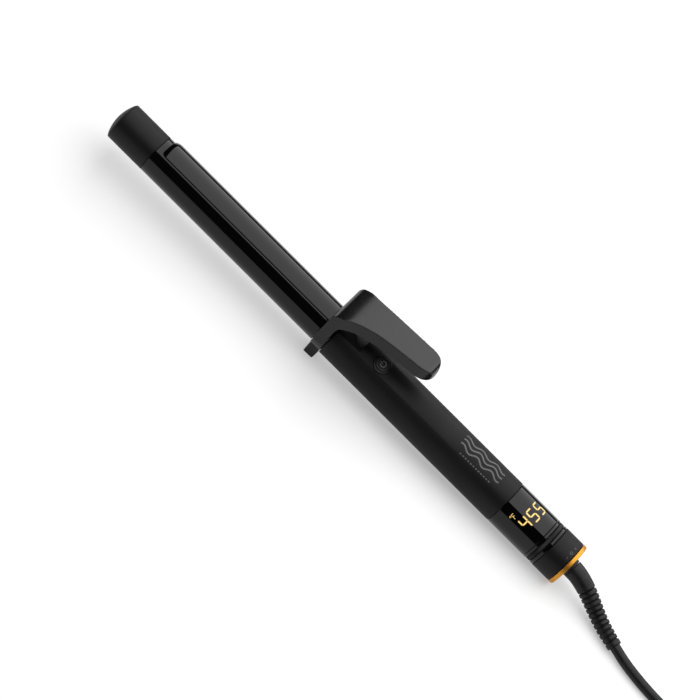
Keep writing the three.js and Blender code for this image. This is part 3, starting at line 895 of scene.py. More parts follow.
class Segment(Enum):
    """The bars of a seven-bar digit, as centre (in half-widths, half-heights) and direction."""

    TOP = (0, 1, True)
    MIDDLE = (0, 0, True)
    BOTTOM = (0, -1, True)
    UPPER_LEFT = (-1, 0.5, False)
    UPPER_RIGHT = (1, 0.5, False)
    LOWER_LEFT = (-1, -0.5, False)
    LOWER_RIGHT = (1, -0.5, False)


FOUR = (Segment.UPPER_LEFT, Segment.MIDDLE, Segment.UPPER_RIGHT, Segment.LOWER_RIGHT)
FIVE = (Segment.TOP, Segment.UPPER_LEFT, Segment.MIDDLE, Segment.LOWER_RIGHT, Segment.BOTTOM)


@dataclass(frozen=True)
class DigitStyle:
    """The size of a seven-bar digit.

    Attributes:
        width: between the middles of its upright bars.
        height: between the middles of its top and bottom bars.
        bar: the thickness of a bar.
        gap: the clearance at a bar's ends.
    """

    width: float = 4.0
    height: float = 8.0
    bar: float = 0.78
    gap: float = 0.12

    def shapes(self, segments: Sequence[Segment], right: float, grow: float = 0.0) -> list[list[Point2]]:
        """The outlines of a digit's lit bars.

        Args:
            segments: the bars that are lit.
            right: how far right the digit's middle is.
            grow: how much wider each bar is all round.

        Returns:
            A six-sided outline for each bar.
        """
        result = []
        for segment in segments:
            across, up, level = segment.value
            long = self.width if level else self.height / 2
            reach, half = long / 2 - self.gap + grow, self.bar / 2 + grow
            bar = [(-reach, 0), (-reach + half, half), (reach - half, half),
                   (reach, 0), (reach - half, -half), (-reach + half, -half)]
            middle = (across * self.width / 2, up * self.height / 2)
            shape = [(middle[0] + (a if level else b), middle[1] + (b if level else a)) for a, b in bar]
            result.append([(right + a, b) for a, b in shape])
        return result


# ---------------------------------------------------------------- sub-assemblies
@dataclass
class Assembly:
    """A group of pieces that are built together.

    Attributes:
        title: what the group is, for the log.
        pieces: the objects that it has made so far.
    """

    title: str
    pieces: list[bpy.types.Object] = field(default_factory=list)

    def take(self, piece: bpy.types.Object, finish: Finish, body: Body, *nodes: str) -> bpy.types.Object:
        """Gives a piece its finish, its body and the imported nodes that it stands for.

        Args:
            piece: the new object.
            finish: its finish.
            body: the body that it moves with.
            *nodes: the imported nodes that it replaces.

        Returns:
            The same object.
        """
        piece.data.materials.clear()
        piece.data.materials.append(finish.material())
        if nodes:
            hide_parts(*nodes)
        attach(piece, body.value)
        self.pieces.append(piece)
        return piece

    def carry(self, finish: Finish, *nodes: str) -> None:
        """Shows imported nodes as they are, with a finish of their own."""
        for name in nodes:
            node = frame["nodes"][name]
            node.data.materials.clear()
            node.data.materials.append(finish.material())
            self.pieces.append(node)

    def build(self) -> None:
        """Makes the pieces."""
        raise NotImplementedError

    def report(self) -> None:
        """Logs what was made."""
        log.info("%s: %s", self.title, ", ".join(piece.name for piece in self.pieces))


@dataclass
class Barrel(Assembly):
    """The coated barrel and its cool tip, with the heater inside.

    Attributes:
        radius: the barrel's radius, half an inch.
        front: the barrel's front end.
        rear: its rear end, in the collar.
        wall: its thickness.
    """

    title: str = "barrel"
    radius: float = 12.7
    front: float = -145.3
    rear: float = -3.8
    wall: float = 1.0

    def build(self) -> None:
        """Makes the tip, the barrel and the heater's finishes."""
        self.take(self.cool_tip().to_object("cool_tip_shell"), Finishes.COOL_TIP, Body.HANDLE, "cool_tip")
        tube = sleeve(self.front, self.rear, self.radius, self.radius - self.wall, 0.25)
        self.take(tube.to_object("coated_barrel"), Finishes.BARREL, Body.HANDLE, "barrel_tube")
        self.carry(Finishes.CERAMIC, "tip_insulator", "heater_plate", "temperature_sensor")
        self.carry(Finishes.ALUMINIUM, "heat_spreader_upper", "heat_spreader_lower")
        self.carry(Finishes.WIRE, "heater_lead_live", "heater_lead_neutral")

    def cool_tip(self) -> Draft:
        """The domed tip with the spigot that plugs it into the barrel."""
        rear, shoulder, apex, bore = -145.6, -172.2, -176.2, 9.2
        corner, edge = 0.9, -173.3
        dome = arc((self.radius - corner, shoulder), corner, 0, -75, 6)
        dome += [(dome[-1][0] * (1 - k / 16), edge + (apex - edge) * (1 - (1 - k / 16) ** 2)) for k in range(1, 16)]
        spigot = self.radius - 1.3
        rim = softened([(bore, shoulder), (bore, -139), (spigot, -139), (spigot, rear), (self.radius, rear)],
                       0.35, closed=False)
        inside = [(bore - 2, shoulder - 0.4), (0, shoulder - 1.0)]
        return turned([*reversed(inside), *rim, *dome, (0, apex)], closed=False)


@dataclass
class Clip(Assembly):
    """The spring clip with its thumb lever, pin and rivets.

    Attributes:
        outer: the clip's outer radius.
        inner: its inner radius.
        half_angle: how far round it reaches on each side, in degrees.
        front: where its lip ends.
        root: where it ends under the lever.
        pin_radius: the pin's radius.
        pin_half: half the pin's length.
        lever_top: the lever's top line as (x, z).
        lever_bottom: its lower line, from its end back to the root.
        lever_half_width: its half-width along x.
        lever_wall: its wall's thickness.
        lever_end: where it ends.
        ear_inside: half the clearance between its ears.
        rivet_x: where the rivets are along the iron.
        rivet_y: how far each is from the middle.
        rivet_hole: the radius of their holes.
    """

    title: str = "clip"
    outer: float = 14.4
    inner: float = 13.1
    half_angle: float = 38
    front: float = -141.5
    root: float = 2.9
    pin_radius: float = 1.6
    pin_half: float = 15.9
    lever_top: tuple[Point2, ...] = (
        (-3.9, 20.6), (-3.5, 22.9), (-2.3, 24.7), (-0.9, 25.8), (5.7, 28.8), (15.3, 31.5), (23.7, 33.2),
        (35.7, 34.7), (50.7, 36.2), (56.7, 36.6), (59.6, 35.8), (61.7, 33.7), (62.7, 30.8))
    lever_bottom: tuple[Point2, ...] = (
        (62.7, 28.7), (47.6, 27.5), (35.7, 26.7), (22.5, 24.4), (15.3, 23.0), (10.5, 21.5),
        (6.9, 19.9), (4.4, 18.4), (3.3, 16.2))
    lever_half_width: tuple[Point2, ...] = (
        (-3.9, 17.3), (1.6, 17.3), (5.7, 15.9), (10, 14.5), (15.3, 13.3), (23.7, 12.0), (35.7, 11.0), (50.7, 10.1))
    lever_wall: float = 2.2
    lever_end: float = 62.7
    ear_inside: float = 14.65
    rivet_x: float = 0.4
    rivet_y: float = 4.2
    rivet_hole: float = 1.2

    def build(self) -> None:
        """Makes the clip, the lever and the finishes of the pin, spring and rivets."""
        blade = carved("clip_blade", self.plate(), removed=self.rivet_holes(8, 20), sharp=50)
        self.take(blade, Finishes.CLIP, Body.CLIP, "clip_plate")
        self.take(self.lever(), Finishes.LEVER, Body.CLIP, "thumb_lever")
        rod, half = self.pin_radius, self.pin_half
        pin = on_pin(softened([(0, -half), (rod, -half), (rod, half), (0, half)], 0.35, closed=False), 40)
        self.take(pin.to_object("hinge_pin"), Finishes.STEEL, Body.HANDLE, "pivot_pin")
        self.carry(Finishes.STEEL, "clip_spring", "clip_rivet_left", "clip_rivet_right")

    def rivet_holes(self, low: float, high: float) -> list[Draft]:
        """Rods to cut the two rivets' holes with, from one height to another."""
        return [upright([(0, low), (self.rivet_hole, low), (self.rivet_hole, high), (0, high)], 24).moved(
            Matrix.Translation((self.rivet_x, side * self.rivet_y, 0))) for side in (-1, 1)]

    def plate(self) -> Draft:
        """The clip's bent sheet, with a lip that closes down on the barrel and rounded front corners."""
        lip, corner = 4.5, 2.2
        stations = [self.front + lip * (k / 14) ** 2 for k in range(15)]
        stations += [self.front + lip + (self.root - self.front - lip) * k / 12 for k in range(1, 13)]
        draft, rows = Draft(), []
        for x in stations:
            gone = x - self.front
            fall = max(0.0, 1 - gone / lip)
            outer = self.outer - 1.35 * fall ** 2.2
            inner = self.inner - 0.15 * min(1, 2 * fall)
            cut_back = corner - math.sqrt(corner ** 2 - max(0, corner - gone) ** 2)
            half = math.radians(self.half_angle) - cut_back / self.outer
            flat = [(half * (2 * k / 32 - 1) * self.outer, outer) for k in range(33)]
            flat += [(half * (1 - 2 * k / 32) * self.outer, inner) for k in range(33)]
            rounded = softened(flat, min(0.32, 0.4 * (outer - inner)))
            rows.append(draft.ring((x, -r * math.sin(a / self.outer), r * math.cos(a / self.outer))
                                   for a, r in rounded))
        for a, b in zip(rows, rows[1:]):
            draft.bridge(a, b)
        draft.cap(rows[0])
        draft.cap(rows[-1])
        return draft

    def plan(self, wall: float, start: float, widest: float) -> list[Point2]:
        """The lever from above.

        Args:
            wall: how much smaller the outline is all round.
            start: where it starts.
            widest: its greatest half-width.

        Returns:
            The outline as (x, y).
        """
        knots = [(x, min(half - wall, widest), 0) for x, half in self.lever_half_width]
        side = [(p.x, min(p.y, widest)) for p in smooth_line(knots, 1.5)]
        side[0] = (start, side[0][1])
        last, round_from, end = side[-1][1], 51.5, self.lever_end - wall
        side = [p for p in side if p[0] < round_from]
        tip = [(round_from + (end - round_from) * math.sin(t), last * math.cos(t))
               for t in (math.pi * k / 28 for k in range(29))]
        return [*side, *tip, *[(x, -y) for x, y in reversed(side)]]

    def lever(self) -> bpy.types.Object:
        """The hollow thumb lever with its two ears."""
        top = [(p.x, p.z) for p in smooth_line([(x, 0, z) for x, z in self.lever_top], 1.2)]
        below = [(p.x, p.z) for p in smooth_line([(x, 0, z) for x, z in self.lever_bottom], 1.2)]
        side = [*top, *below, (3.3, 0), (-3.9, 0)]
        ceiling = [(x, z - self.lever_wall) for x, z in top if -1 < x < 60]
        front_wall = -1.9
        room = [(front_wall, -5), (front_wall, 22.6), *ceiling, (60.5, 32.4), (60.5, -5)]
        inner = carved("lever_room", from_side(room, 20), removed=[block(-4, self.root, -7.5, 7.5, 15, 30)],
                       kept=[from_above(self.plan(self.lever_wall, front_wall, self.ear_inside), -6, 45)])
        hollow = Draft()
        hollow.points = [IRON.matrix.inverted() @ v.co / MM for v in inner.data.vertices]
        hollow.faces = [tuple(face.vertices) for face in inner.data.polygons]
        bpy.data.objects.remove(inner)
        arch = [(self.ear_inside * math.sin(t), self.ear_inside * math.cos(t))
                for t in (math.pi * (k / 40 - 0.5) for k in range(41))]
        arch = [*arch, (self.ear_inside, -10), (-self.ear_inside, -10)]
        piece = carved("lever_shell", from_side(side, 20), kept=[from_above(self.plan(0, -3.9, 17.3), -5, 45)],
                       removed=[hollow, from_end(arch, -10, 2), pin_hole(16.2), *self.rivet_holes(10, 17.1)])
        return melted(piece, 0.36, 5)


@dataclass
class Collar(Assembly):
    """The collar between the barrel and the handle, with the rest foot.

    Attributes:
        radius: the collar's radius.
        front: its front face.
        rear: its rear face.
        foot_bottom: the height of the foot's sole at its middle.
        foot_half_width: half the foot's width.
    """

    title: str = "collar"
    radius: float = 14.2
    front: float = -3.5
    rear: float = 4.3
    foot_bottom: float = -21.8
    foot_half_width: float = 7.0

    def build(self) -> None:
        """Makes the collar and foot in one piece."""
        middle, lean = 1.1, math.asin(-(IRON.matrix.to_3x3() @ Vector((1, 0, 0))).z)

        def sole(x: float) -> float:
            """The height at which the sole meets the surface."""
            return self.foot_bottom + (x - middle) * math.tan(lean)

        foot = [(self.front + 0.2, -10), (self.front + 0.4, -13.5), (-2.7, sole(-2.7)), (3.6, sole(3.6)),
                (4.2, sole(4.2) + 0.6), (self.rear, -13.5), (self.rear, -10)]
        disc = turned(softened([(0, self.front), (self.radius, self.front), (self.radius, self.rear), (0, self.rear)],
                               0.5, closed=False), closed=False)
        passage = turned([(0, -20), (4.2, -20), (4.2, 20), (0, 20)], 40, closed=False).moved(
            Matrix.Translation((0, 0, -5.4)))
        piece = carved(
            "collar_and_foot", disc,
            joined=[sleeve(-12, self.front + 1, 11.3, 9.4), sleeve(self.rear - 1, 7.6, 12.4, 10.2),
                    from_side(foot, self.foot_half_width)],
            removed=[block(-20, 20, -9.6, 9.6, 9.4, 20), block(self.rear, 20, -20, 20, 8.8, 20),
                     block(-3.0, 3.5, -5.2, 5.2, -0.6, 20), passage, pin_hole(20)])
        self.take(melted(piece, 0.36, 5), Finishes.LEVER, Body.HANDLE, "base_collar")


@dataclass
class Handle(Assembly):
    """The handle's sleeve with its recess and button hole, and the boards inside.

    Attributes:
        radius: the handle's radius.
        bore: its bore.
        front: its front end.
        rear: its rear end.
        recess_rear: where the recess under the lever ends.
        recess_floor: the height of the recess's floor.
        recess_half_width: half its width.
        button_hole: the radius of the button's hole.
    """

    title: str = "handle"
    radius: float = HANDLE_RADIUS
    bore: float = 12.8
    front: float = 4.6
    rear: float = 144.45
    recess_rear: float = 21.8
    recess_floor: float = 11.1
    recess_half_width: float = 9.8
    button_hole: float = 5.8

    def build(self) -> None:
        """Makes the sleeve and its emblem, and the finishes of the works inside."""
        self.take(self.shell(), Finishes.HANDLE, Body.HANDLE, "handle_sleeve")
        self.take(self.emblem().to_object("wave_emblem"), Finishes.GREY_PRINT, Body.HANDLE)
        self.carry(Finishes.NYLON, "inner_frame", "brush_block")
        self.carry(Finishes.BOARD, "main_board", "display_board")
        self.carry(Finishes.COMPONENT, "button_switch", "controller_chip", "triac", "capacitor", "display_module")
        self.carry(Finishes.CERAMIC, "fuse")

    def shell(self) -> bpy.types.Object:
        """The sleeve, with softened edges round the recess and the button's hole."""
        reach = 14.7
        side = math.degrees(math.asin(11.4 / reach))
        floor = [(-11.4, 9.3), (11.4, 9.3), *arc((0, 0), reach, 90 - side, 90 + side, 24)]
        hole = upright([(0, 10), (self.button_hole, 10), (self.button_hole, 20), (0, 20)]).moved(BUTTON_PLACE)
        recess = block(0, self.recess_rear, -self.recess_half_width, self.recess_half_width, self.recess_floor, 20)
        piece = carved("handle_shell", sleeve(self.front, self.rear, self.radius, self.bore),
                       joined=[from_end(floor, self.front + 0.3, self.recess_rear + 1.8)], removed=[recess, hole])
        edge = piece.modifiers.new("edge", "BEVEL")
        edge.width, edge.segments, edge.limit_method = 0.25 * MM, 2, "ANGLE"
        edge.angle_limit = math.radians(42)
        mesh = baked(piece)
        bpy.data.objects.remove(piece)
        return finished_object("handle_shell", mesh, 50)

    def emblem(self) -> Draft:
        """A plain motif of waves with a row of short bars under it."""
        shapes: list[list[Point2]] = []
        for row in (-3.4, 0.0, 3.4):
            wave = [(row + 1.2 * math.sin(0.55 * up), up) for up in (-16 + 32 * k / 64 for k in range(65))]
            shapes += stroke(wave, 1.0)
        for k in range(12):
            up = -12.0 + 2.1 * k
            shapes.append([(-8.2, up), (-8.2, up + 1.2), (-7.4, up + 1.2), (-7.4, up)])
        return wrapped(shapes, 117, 12, self.radius + PRINT_LIFT)


@dataclass
class PowerButton(Assembly):
    """The round power button and its bezel.

    Attributes:
        bezel: the bezel's section as (radius, height).
        cap: the cap's section, dished on top.
        symbol_radius: the radius of the symbol's loop.
        symbol_height: the height of the symbol over the iron's axis.
        pen: the width of the symbol's lines.
    """

    title: str = "power button"
    bezel: tuple[Point2, ...] = ((4.7, 12.2), (5.5, 12.2), (5.5, 15.0), (5.25, 15.5), (4.95, 15.5), (4.7, 15.2))
    cap: tuple[Point2, ...] = (
        (0, 9.3), (1.5, 9.3), (1.5, 13.9), (4.4, 13.9), (4.4, 15.45), (4.3, 15.7), (4.1, 15.85), (3.8, 15.9),
        (3.4, 15.84), (2.6, 15.72), (1.4, 15.64), (0, 15.62))
    symbol_radius: float = 1.8
    symbol_height: float = 15.78
    pen: float = 0.42

    def build(self) -> None:
        """Makes the bezel, the cap and the power symbol."""
        bezel = upright_ring(softened(self.bezel, 0.15)).moved(BUTTON_PLACE)
        self.take(bezel.to_object("button_surround"), Finishes.BUTTON, Body.HANDLE, "button_bezel")
        cap = upright(self.cap).moved(BUTTON_PLACE)
        self.take(cap.to_object("button_cap"), Finishes.BUTTON, Body.BUTTON, "power_button")
        self.take(self.symbol().moved(BUTTON_PLACE).to_object("power_symbol"), Finishes.WHITE_PRINT, Body.BUTTON)

    def symbol(self) -> Draft:
        """The open loop and the bar of the power symbol."""
        draft = Draft()
        loop = [(up, right) for right, up in arc((0, 0), self.symbol_radius, 38, 322, 40)]
        for shape in stroke(loop, self.pen) + stroke([(0, 0.3), (0, 2.3)], self.pen):
            draft.cap(draft.ring((-up, right, self.symbol_height) for right, up in shape))
        return draft


@dataclass
class Display(Assembly):
    """The smoked window with its lit temperature.

    Attributes:
        radius: the window's radius.
        front: its front end.
        rear: its rear end.
        pitch: the distance between two digits' middles.
        digits_at: where the digits are along the iron.
        digits_turn: where they are round it, in degrees.
        unit_at: where the degree sign and letter are along the iron.
        unit_turn: where they are round it, in degrees.
    """

    title: str = "display"
    radius: float = HANDLE_RADIUS
    front: float = 144.75
    rear: float = 173.75
    pitch: float = 6.7
    digits_at: float = 160.65
    digits_turn: float = 24.5
    unit_at: float = 153.1
    unit_turn: float = 60

    def build(self) -> None:
        """Makes the window, the digits and their glow."""
        window = sleeve(self.front, self.rear, self.radius, 13.0, 0.25)
        self.take(window.to_object("smoked_window"), Finishes.WINDOW, Body.HANDLE, "display_window")
        self.take(self.lit(0.16, 0.010).to_object("digit_glow"), Finishes.GLOW, Body.HANDLE)
        self.take(self.lit(0.0, 0.025).to_object("lit_digits"), Finishes.SEGMENT, Body.HANDLE)

    def lit(self, grow: float, height: float) -> Draft:
        """The lit shapes.

        Args:
            grow: how much wider they are all round.
            height: how far over the window they lie.

        Returns:
            The digits and the unit, on the window.
        """
        style, radius = DigitStyle(), self.radius + height
        shapes: list[list[Point2]] = []
        for place, digit in enumerate((FOUR, FIVE, FIVE)):
            shapes += style.shapes(digit, (place - 1) * self.pitch, grow)
        unit = stroke(arc((-1.15, 1.2), 0.45, 0, 360, 16), 0.2 + grow)
        for line in ([(0, -1.7), (0, 1.7)], [(0, 1.55), (1.6, 1.55)], [(0, 0.1), (1.2, 0.1)]):
            unit += stroke(line, 0.24 + grow)
        digits = wrapped(shapes, self.digits_at, self.digits_turn, radius)
        return digits.add(wrapped(unit, self.unit_at, self.unit_turn, radius))


@dataclass
class Rings(Assembly):
    """The trim rings and the ribbed grip ring between the window and the dial.

    Attributes:
        radius: the trim rings' radius.
        bore: the bore of all three.
        ribs: how many ribs the grip ring has.
        rib_depth: half the depth of a rib.
    """

    title: str = "rings"
    radius: float = HANDLE_RADIUS
    bore: float = 12.8
    ribs: int = 90
    rib_depth: float = 0.13

    def build(self) -> None:
        """Makes the three rings."""
        front = sleeve(174.05, 175.85, self.radius, self.bore, 0.3)
        self.take(front.to_object("front_trim"), Finishes.TRIM, Body.HANDLE, "front_trim_ring")
        self.take(self.ribbed(176.15, 178.95).to_object("ribbed_grip", sharp=60), Finishes.GRIP_RING, Body.HANDLE,
                  "grip_ring")
        rear = turned(softened([(self.bore, 179.25), (14.6, 179.25), (self.radius, 179.7), (self.radius, 180.9),
                                (14.5, 181.25), (self.bore, 181.25)], 0.2))
        self.take(rear.to_object("rear_trim"), Finishes.TRIM, Body.HANDLE, "rear_trim_ring")

    def ribbed(self, front: float, rear: float) -> Draft:
        """A ring with fine ribs along the iron.

        Args:
            front: its front end.
            rear: its rear end.

        Returns:
            The ring.
        """
        outline = [(self.bore, front), (14.1, front), (14.4, front + 0.4), (14.4, rear - 0.4), (14.1, rear),
                   (self.bore, rear)]
        ring = turned(outline, 8 * self.ribs)
        for point in ring.points:
            out = math.hypot(point.y, point.z)
            if out > self.bore + 0.2:
                wave = self.rib_depth * math.cos(self.ribs * math.atan2(point.y, point.z))
                point.y *= (out + wave) / out
                point.z *= (out + wave) / out
        return ring


@dataclass
class Dial(Assembly):
    """The temperature dial at the handle's end with its marks and gold ring.

    Attributes:
        radius: the dial's radius.
        marks_at: where its marks are along the iron.
        pen: the width of the marks' lines.
        mark_half: half the size of a mark.
    """

    title: str = "dial"
    radius: float = HANDLE_RADIUS
    marks_at: float = 192.2
    pen: float = 0.32
    mark_half: float = 0.85

    def build(self) -> None:
        """Makes the dial, its marks, the gold ring and the works behind them."""
        outline = softened([(12.8, 181.55), (self.radius, 181.55), (self.radius, 194.45), (13.0, 194.45),
                            (13.0, 197.3), (7.0, 197.3), (7.0, 194.9), (12.8, 194.1)], 0.35)
        self.take(turned(outline).to_object("dial_barrel"), Finishes.DIAL, Body.DIAL, "temperature_dial")
        self.take(self.marks().to_object("dial_marks"), Finishes.DIM_PRINT, Body.DIAL)
        ring = sleeve(194.75, 197.5, 14.9, 13.3, 0.55)
        self.take(ring.to_object("gold_band"), Finishes.GOLD, Body.DIAL, "gold_ring")
        self.carry(Finishes.NYLON, "tail_hub", "swivel_retainer")
        self.carry(Finishes.STEEL, "retainer_screw_left", "retainer_screw_right", "dial_return_spring")

    def marks(self) -> Draft:
        """The plus, the ring and the minus."""
        half, pen = self.mark_half, self.pen
        plus = stroke([(-half, 0), (-0.17, 0)], pen) + stroke([(0.17, 0), (half, 0)], pen)
        plus += stroke([(0, -half), (0, half)], pen)
        ring = stroke(arc((0, 0), half, 0, 360, 32), pen)
        minus = stroke([(-half, 0), (half, 0)], pen)
        draft = Draft()
        for shapes, turn in ((plus, 8), (ring, 24), (minus, 39.5)):
            draft.add(wrapped(shapes, self.marks_at, turn, self.radius + PRINT_LIFT))
        return draft


@dataclass
class Swivel(Assembly):
    """The turning core that brings the cord out of the handle."""

    title: str = "swivel"

    def build(self) -> None:
        """Makes the core and the finish of its contact rings."""
        outline = [*softened([(0, 170.5), (3.0, 170.5), (3.0, 187.7), (8.2, 187.7), (8.2, 190.3), (6.15, 190.3),
                              (6.15, 199)], 0.3, closed=False), (6.15, 199.9), (0, 199.9)]
        neck = turned(outline, 80, closed=False).to_object("swivel_neck")
        self.take(neck, Finishes.RUBBER, Body.SWIVEL, "swivel_core")
        self.carry(Finishes.CONTACT, "slip_ring_live", "slip_ring_neutral")


def eased(value: float) -> float:
    """0 below 0, 1 above 1 and a smooth rise between."""
    value = min(max(value, 0.0), 1.0)
    return value * value * (3 - 2 * value)


@dataclass
class Hank:
    """The line of a cord wound into a hank that is narrow where it is tied.

    Attributes:
        centre: the middle of the hank.
        half_run: half the length of its long sides.
        folds: the outer track's radius at the end near the iron and at the far end.
        waist: the outer track's distance from the middle line where it is tied.
        first: the height of the lowest layer's middle.
        pitch: the distance between neighbouring tracks and layers.
        turns: how often the cord goes round.
    """

    centre: Point2 = (397, 6)
    half_run: float = 54
    folds: Point2 = (24, 27.6)
    waist: float = 10.2
    first: float = 3.5
    pitch: float = 6.6
    turns: int = 6

    def lap(self) -> float:
        """The length of one turn along the middle of the two tracks."""
        return 4 * self.half_run + math.pi * (sum(self.folds) - self.pitch)

    def change(self, gone: float, turn: int) -> float:
        """How far the cord has changed track or layer at the end of a turn, so that no two meet."""
        length = 30.0
        fold = (turn + 1) * self.lap() - math.pi * (self.folds[0] - self.pitch / 2)
        start = fold - length / 2 + (self.turns - 1 - turn) * length / 2
        return eased((gone - start) / length)

    def point(self, gone: float) -> Vector:
        """The cord's middle at a distance along the winding."""
        near, far = self.folds
        inward = self.change(gone, 0) - self.change(gone, 2) + self.change(gone, 4)
        inward -= (far - near) / self.pitch * (1 - eased(gone / 40))
        layer = self.change(gone, 1) + self.change(gone, 3) + self.change(gone, 5)
        rest, run = gone % self.lap(), 2 * self.half_run
        far_arc, near_arc = math.pi * (far - self.pitch / 2), math.pi * (near - self.pitch / 2)
        height = self.first + self.pitch * layer
        if run <= rest < run + far_arc or rest >= 2 * run + far_arc:
            at_far = rest < 2 * run
            turn = math.pi * (rest - run) / far_arc if at_far else math.pi * (rest - 2 * run - far_arc) / near_arc
            radius = (far if at_far else near) - self.pitch * inward
            sign = 1 if at_far else -1
            x, y = sign * (self.half_run + radius * math.sin(turn)), -sign * radius * math.cos(turn)
        else:
            outward = rest < run
            x = rest - self.half_run if outward else self.half_run - (rest - run - far_arc)
            spread = eased(abs(x) / self.half_run)
            fold = (far if x > 0 else near) - self.pitch * inward
            tied = self.waist - (self.pitch + 0.1) * inward
            y = (tied + (fold - tied) * spread) * (-1 if outward else 1)
            height += (1 - spread) * (1.3 + 1.6 * max(0.0, layer - 2))
        return Vector((self.centre[0] + x, self.centre[1] + y, height))

    def line(self) -> list[Vector]:
        """Points from where the cord joins the hank to where its end leaves the top layer."""
        end = self.turns * self.lap() + self.half_run - 10
        count = round(end / 2.5)
        return [self.point(end * k / count) for k in range(count + 1)]


@dataclass
class MainsCord(Assembly):
    """The strain relief, the tied cord and its plug.

    Attributes:
        radius: the cord's radius.
        relief: the strain relief's middle line.
        run: the cord's middle line from the relief to the hank.
        plug_rear: where the cord enters the plug.
        plug_front: the plug's face.
        plug_height: the height of the plug's middle.
        plug_half_height: half the plug's thickness.
        line_step: the length of a stretch of the cord's line.
        relief_radii: the strain relief's radius at its start and at its end.
        groove_pitch: from one of its grooves to the next.
        groove: how wide a groove is.
        groove_depth: how deep a groove is.
        length: the cord's real length in metres; not used.
    """

    title: str = "mains cord"
    radius: float = 3.3
    relief: tuple[Point3, ...] = (
        (199.98, 0, 14.8), (203.6, -0.15, 14.5), (207.4, -0.55, 13.85), (213.5, -1.6, 12.3), (219.5, -3.0, 10.3),
        (226, -4.9, 8.1), (232.5, -7.3, 6.5), (240, -10.2, 5.6), (249, -13.2, 4.9))
    run: tuple[Point3, ...] = (
        (249, -13.2, 4.9), (260, -16.3, 4.0), (272, -18.7, 3.6), (285, -20.4, 3.5), (299, -21.3, 3.5),
        (311, -21.6, 3.5), (323.2, -21.6, 3.5))
    plug_rear: float = 412
    plug_front: float = 445
    plug_height: float = 28
    plug_half_height: float = 7.6
    line_step: float = 1.6
    relief_radii: Point2 = (6.15, 4.5)
    groove_pitch: float = 3.3
    groove: float = 1.0
    groove_depth: float = 0.85
    length: float = 2.4
    hank: Hank = field(default_factory=Hank)

    def build(self) -> None:
        middle = self.hank.centre[1]
        ending = [(402.5, middle - 2.0, 26.9), (408, middle - 0.3, 27.8),
                  (self.plug_rear + 3, middle, self.plug_height)]
        knots = [*self.run, *self.hank.line(), *ending]
        line = evenly_spaced(smooth_line(knots, self.line_step), self.line_step)
        log.info("cord length %.1f mm", line_length(line))
        cord = swept(line, lambda gone, turn: self.radius, 20).to_object("power_cord", STANDING)
        self.take(cord, Finishes.RUBBER, Body.HANDLE, "cord_run", "cord_hank", "cord_tail")
        relief = self.take(self.strain_relief(), Finishes.RUBBER, Body.HANDLE, "strain_relief")
        tie = self.take(self.tie(), Finishes.STRAP, Body.HANDLE, "cord_tie")
        plug = self.take(self.plug(), Finishes.RUBBER, Body.HANDLE, "plug_body")
        self.carry(Finishes.CONTACT, "plug_blade_wide", "plug_blade_narrow")

    def strain_relief(self) -> bpy.types.Object:
        """The tapered sleeve, plain at first and then grooved so that it bends."""
        line = smooth_line(self.relief, 0.3)
        total = line_length(line)
        plain, (start, end) = 15.0, self.relief_radii

        def section(gone: float, turn: float) -> float:
            """The sleeve's radius."""
            base = start - (start - end) * gone / total
            edge = 0.35 * max(0.0, 1 - (total - gone) / 0.6) ** 2
            place = (gone - plain) % self.groove_pitch
            in_groove = plain < gone < total - 2.5 and place < self.groove
            depth = self.groove_depth * math.sin(math.pi * place / self.groove) ** 0.5 if in_groove else 0.0
            return base - edge - depth

        return swept(line, section, 64).to_object("ribbed_relief", STANDING, sharp=60)

    def tie(self) -> bpy.types.Object:
        """The strap round the hank's waist, with its lapped end."""
        x, y = self.hank.centre
        half, bottom, top, wall = 14.0, 0.1, 21.5, 1.2
        outer = softened([(y - half - wall, bottom), (y + half + wall, bottom), (y + half + wall, top + wall),
                          (y - half - wall, top + wall)], 4.5, 8)
        inner = softened([(y - half, bottom + wall), (y + half, bottom + wall), (y + half, top), (y - half, top)],
                         3.4, 8)
        lap = softened([(y - half - wall - 0.9, 6), (y - half - wall + 0.4, 5), (y - half - wall + 0.4, 15),
                        (y - half - wall - 0.9, 14)], 0.4)
        strap = carved("hook_and_loop_tie", from_end(outer, x - 6, x + 6), joined=[from_end(lap, x - 5.6, x + 5.6)],
                       removed=[from_end(inner, x - 10, x + 10)], space=STANDING)
        return melted(strap, 0.3, 3)

    def plug(self) -> bpy.types.Object:
        """The moulded plug with finger grips on its sides."""
        y, long = self.hank.centre[1], self.plug_front - self.plug_rear
        side = [(0, 4.6), (6, 4.9), (9, 7.4), (11.5, 10.4), (14, 11.8), (long - 2, 12.2), (long, 11.2)]
        side = [(p.x, p.y) for p in smooth_line([(a, b, 0) for a, b in side], 1.0)]
        outline = [*side, *[(a, -b) for a, b in reversed(side)]]
        outline = [(self.plug_rear + a, y + b) for a, b in outline]
        low, high = self.plug_height - self.plug_half_height, self.plug_height + self.plug_half_height
        grips = []
        for k in range(5):
            at = self.plug_rear + 17 + 2.6 * k
            for sign in (-1, 1):
                near, far = sorted((y + sign * 11.5, y + sign * 14))
                grips.append(block(at, at + 1.1, near, far, low + 3, high - 3))
        rear, half = self.plug_rear, self.plug_half_height
        wedge = [(rear - 1, -30), (rear - 1, 5.2), (rear + 6, 5.2), (rear + 13, half),
                 (self.plug_front + 1, half), (self.plug_front + 1, -30)]
        above = [(x, self.plug_height + z) for x, z in wedge]
        below = [(x, self.plug_height - z) for x, z in wedge]
        piece = carved("plug_moulding", from_above(outline, low, high), removed=grips, space=STANDING,
                       kept=[from_side(above, 60), from_side(below, 60)])
        return melted(piece, 0.4, 10)


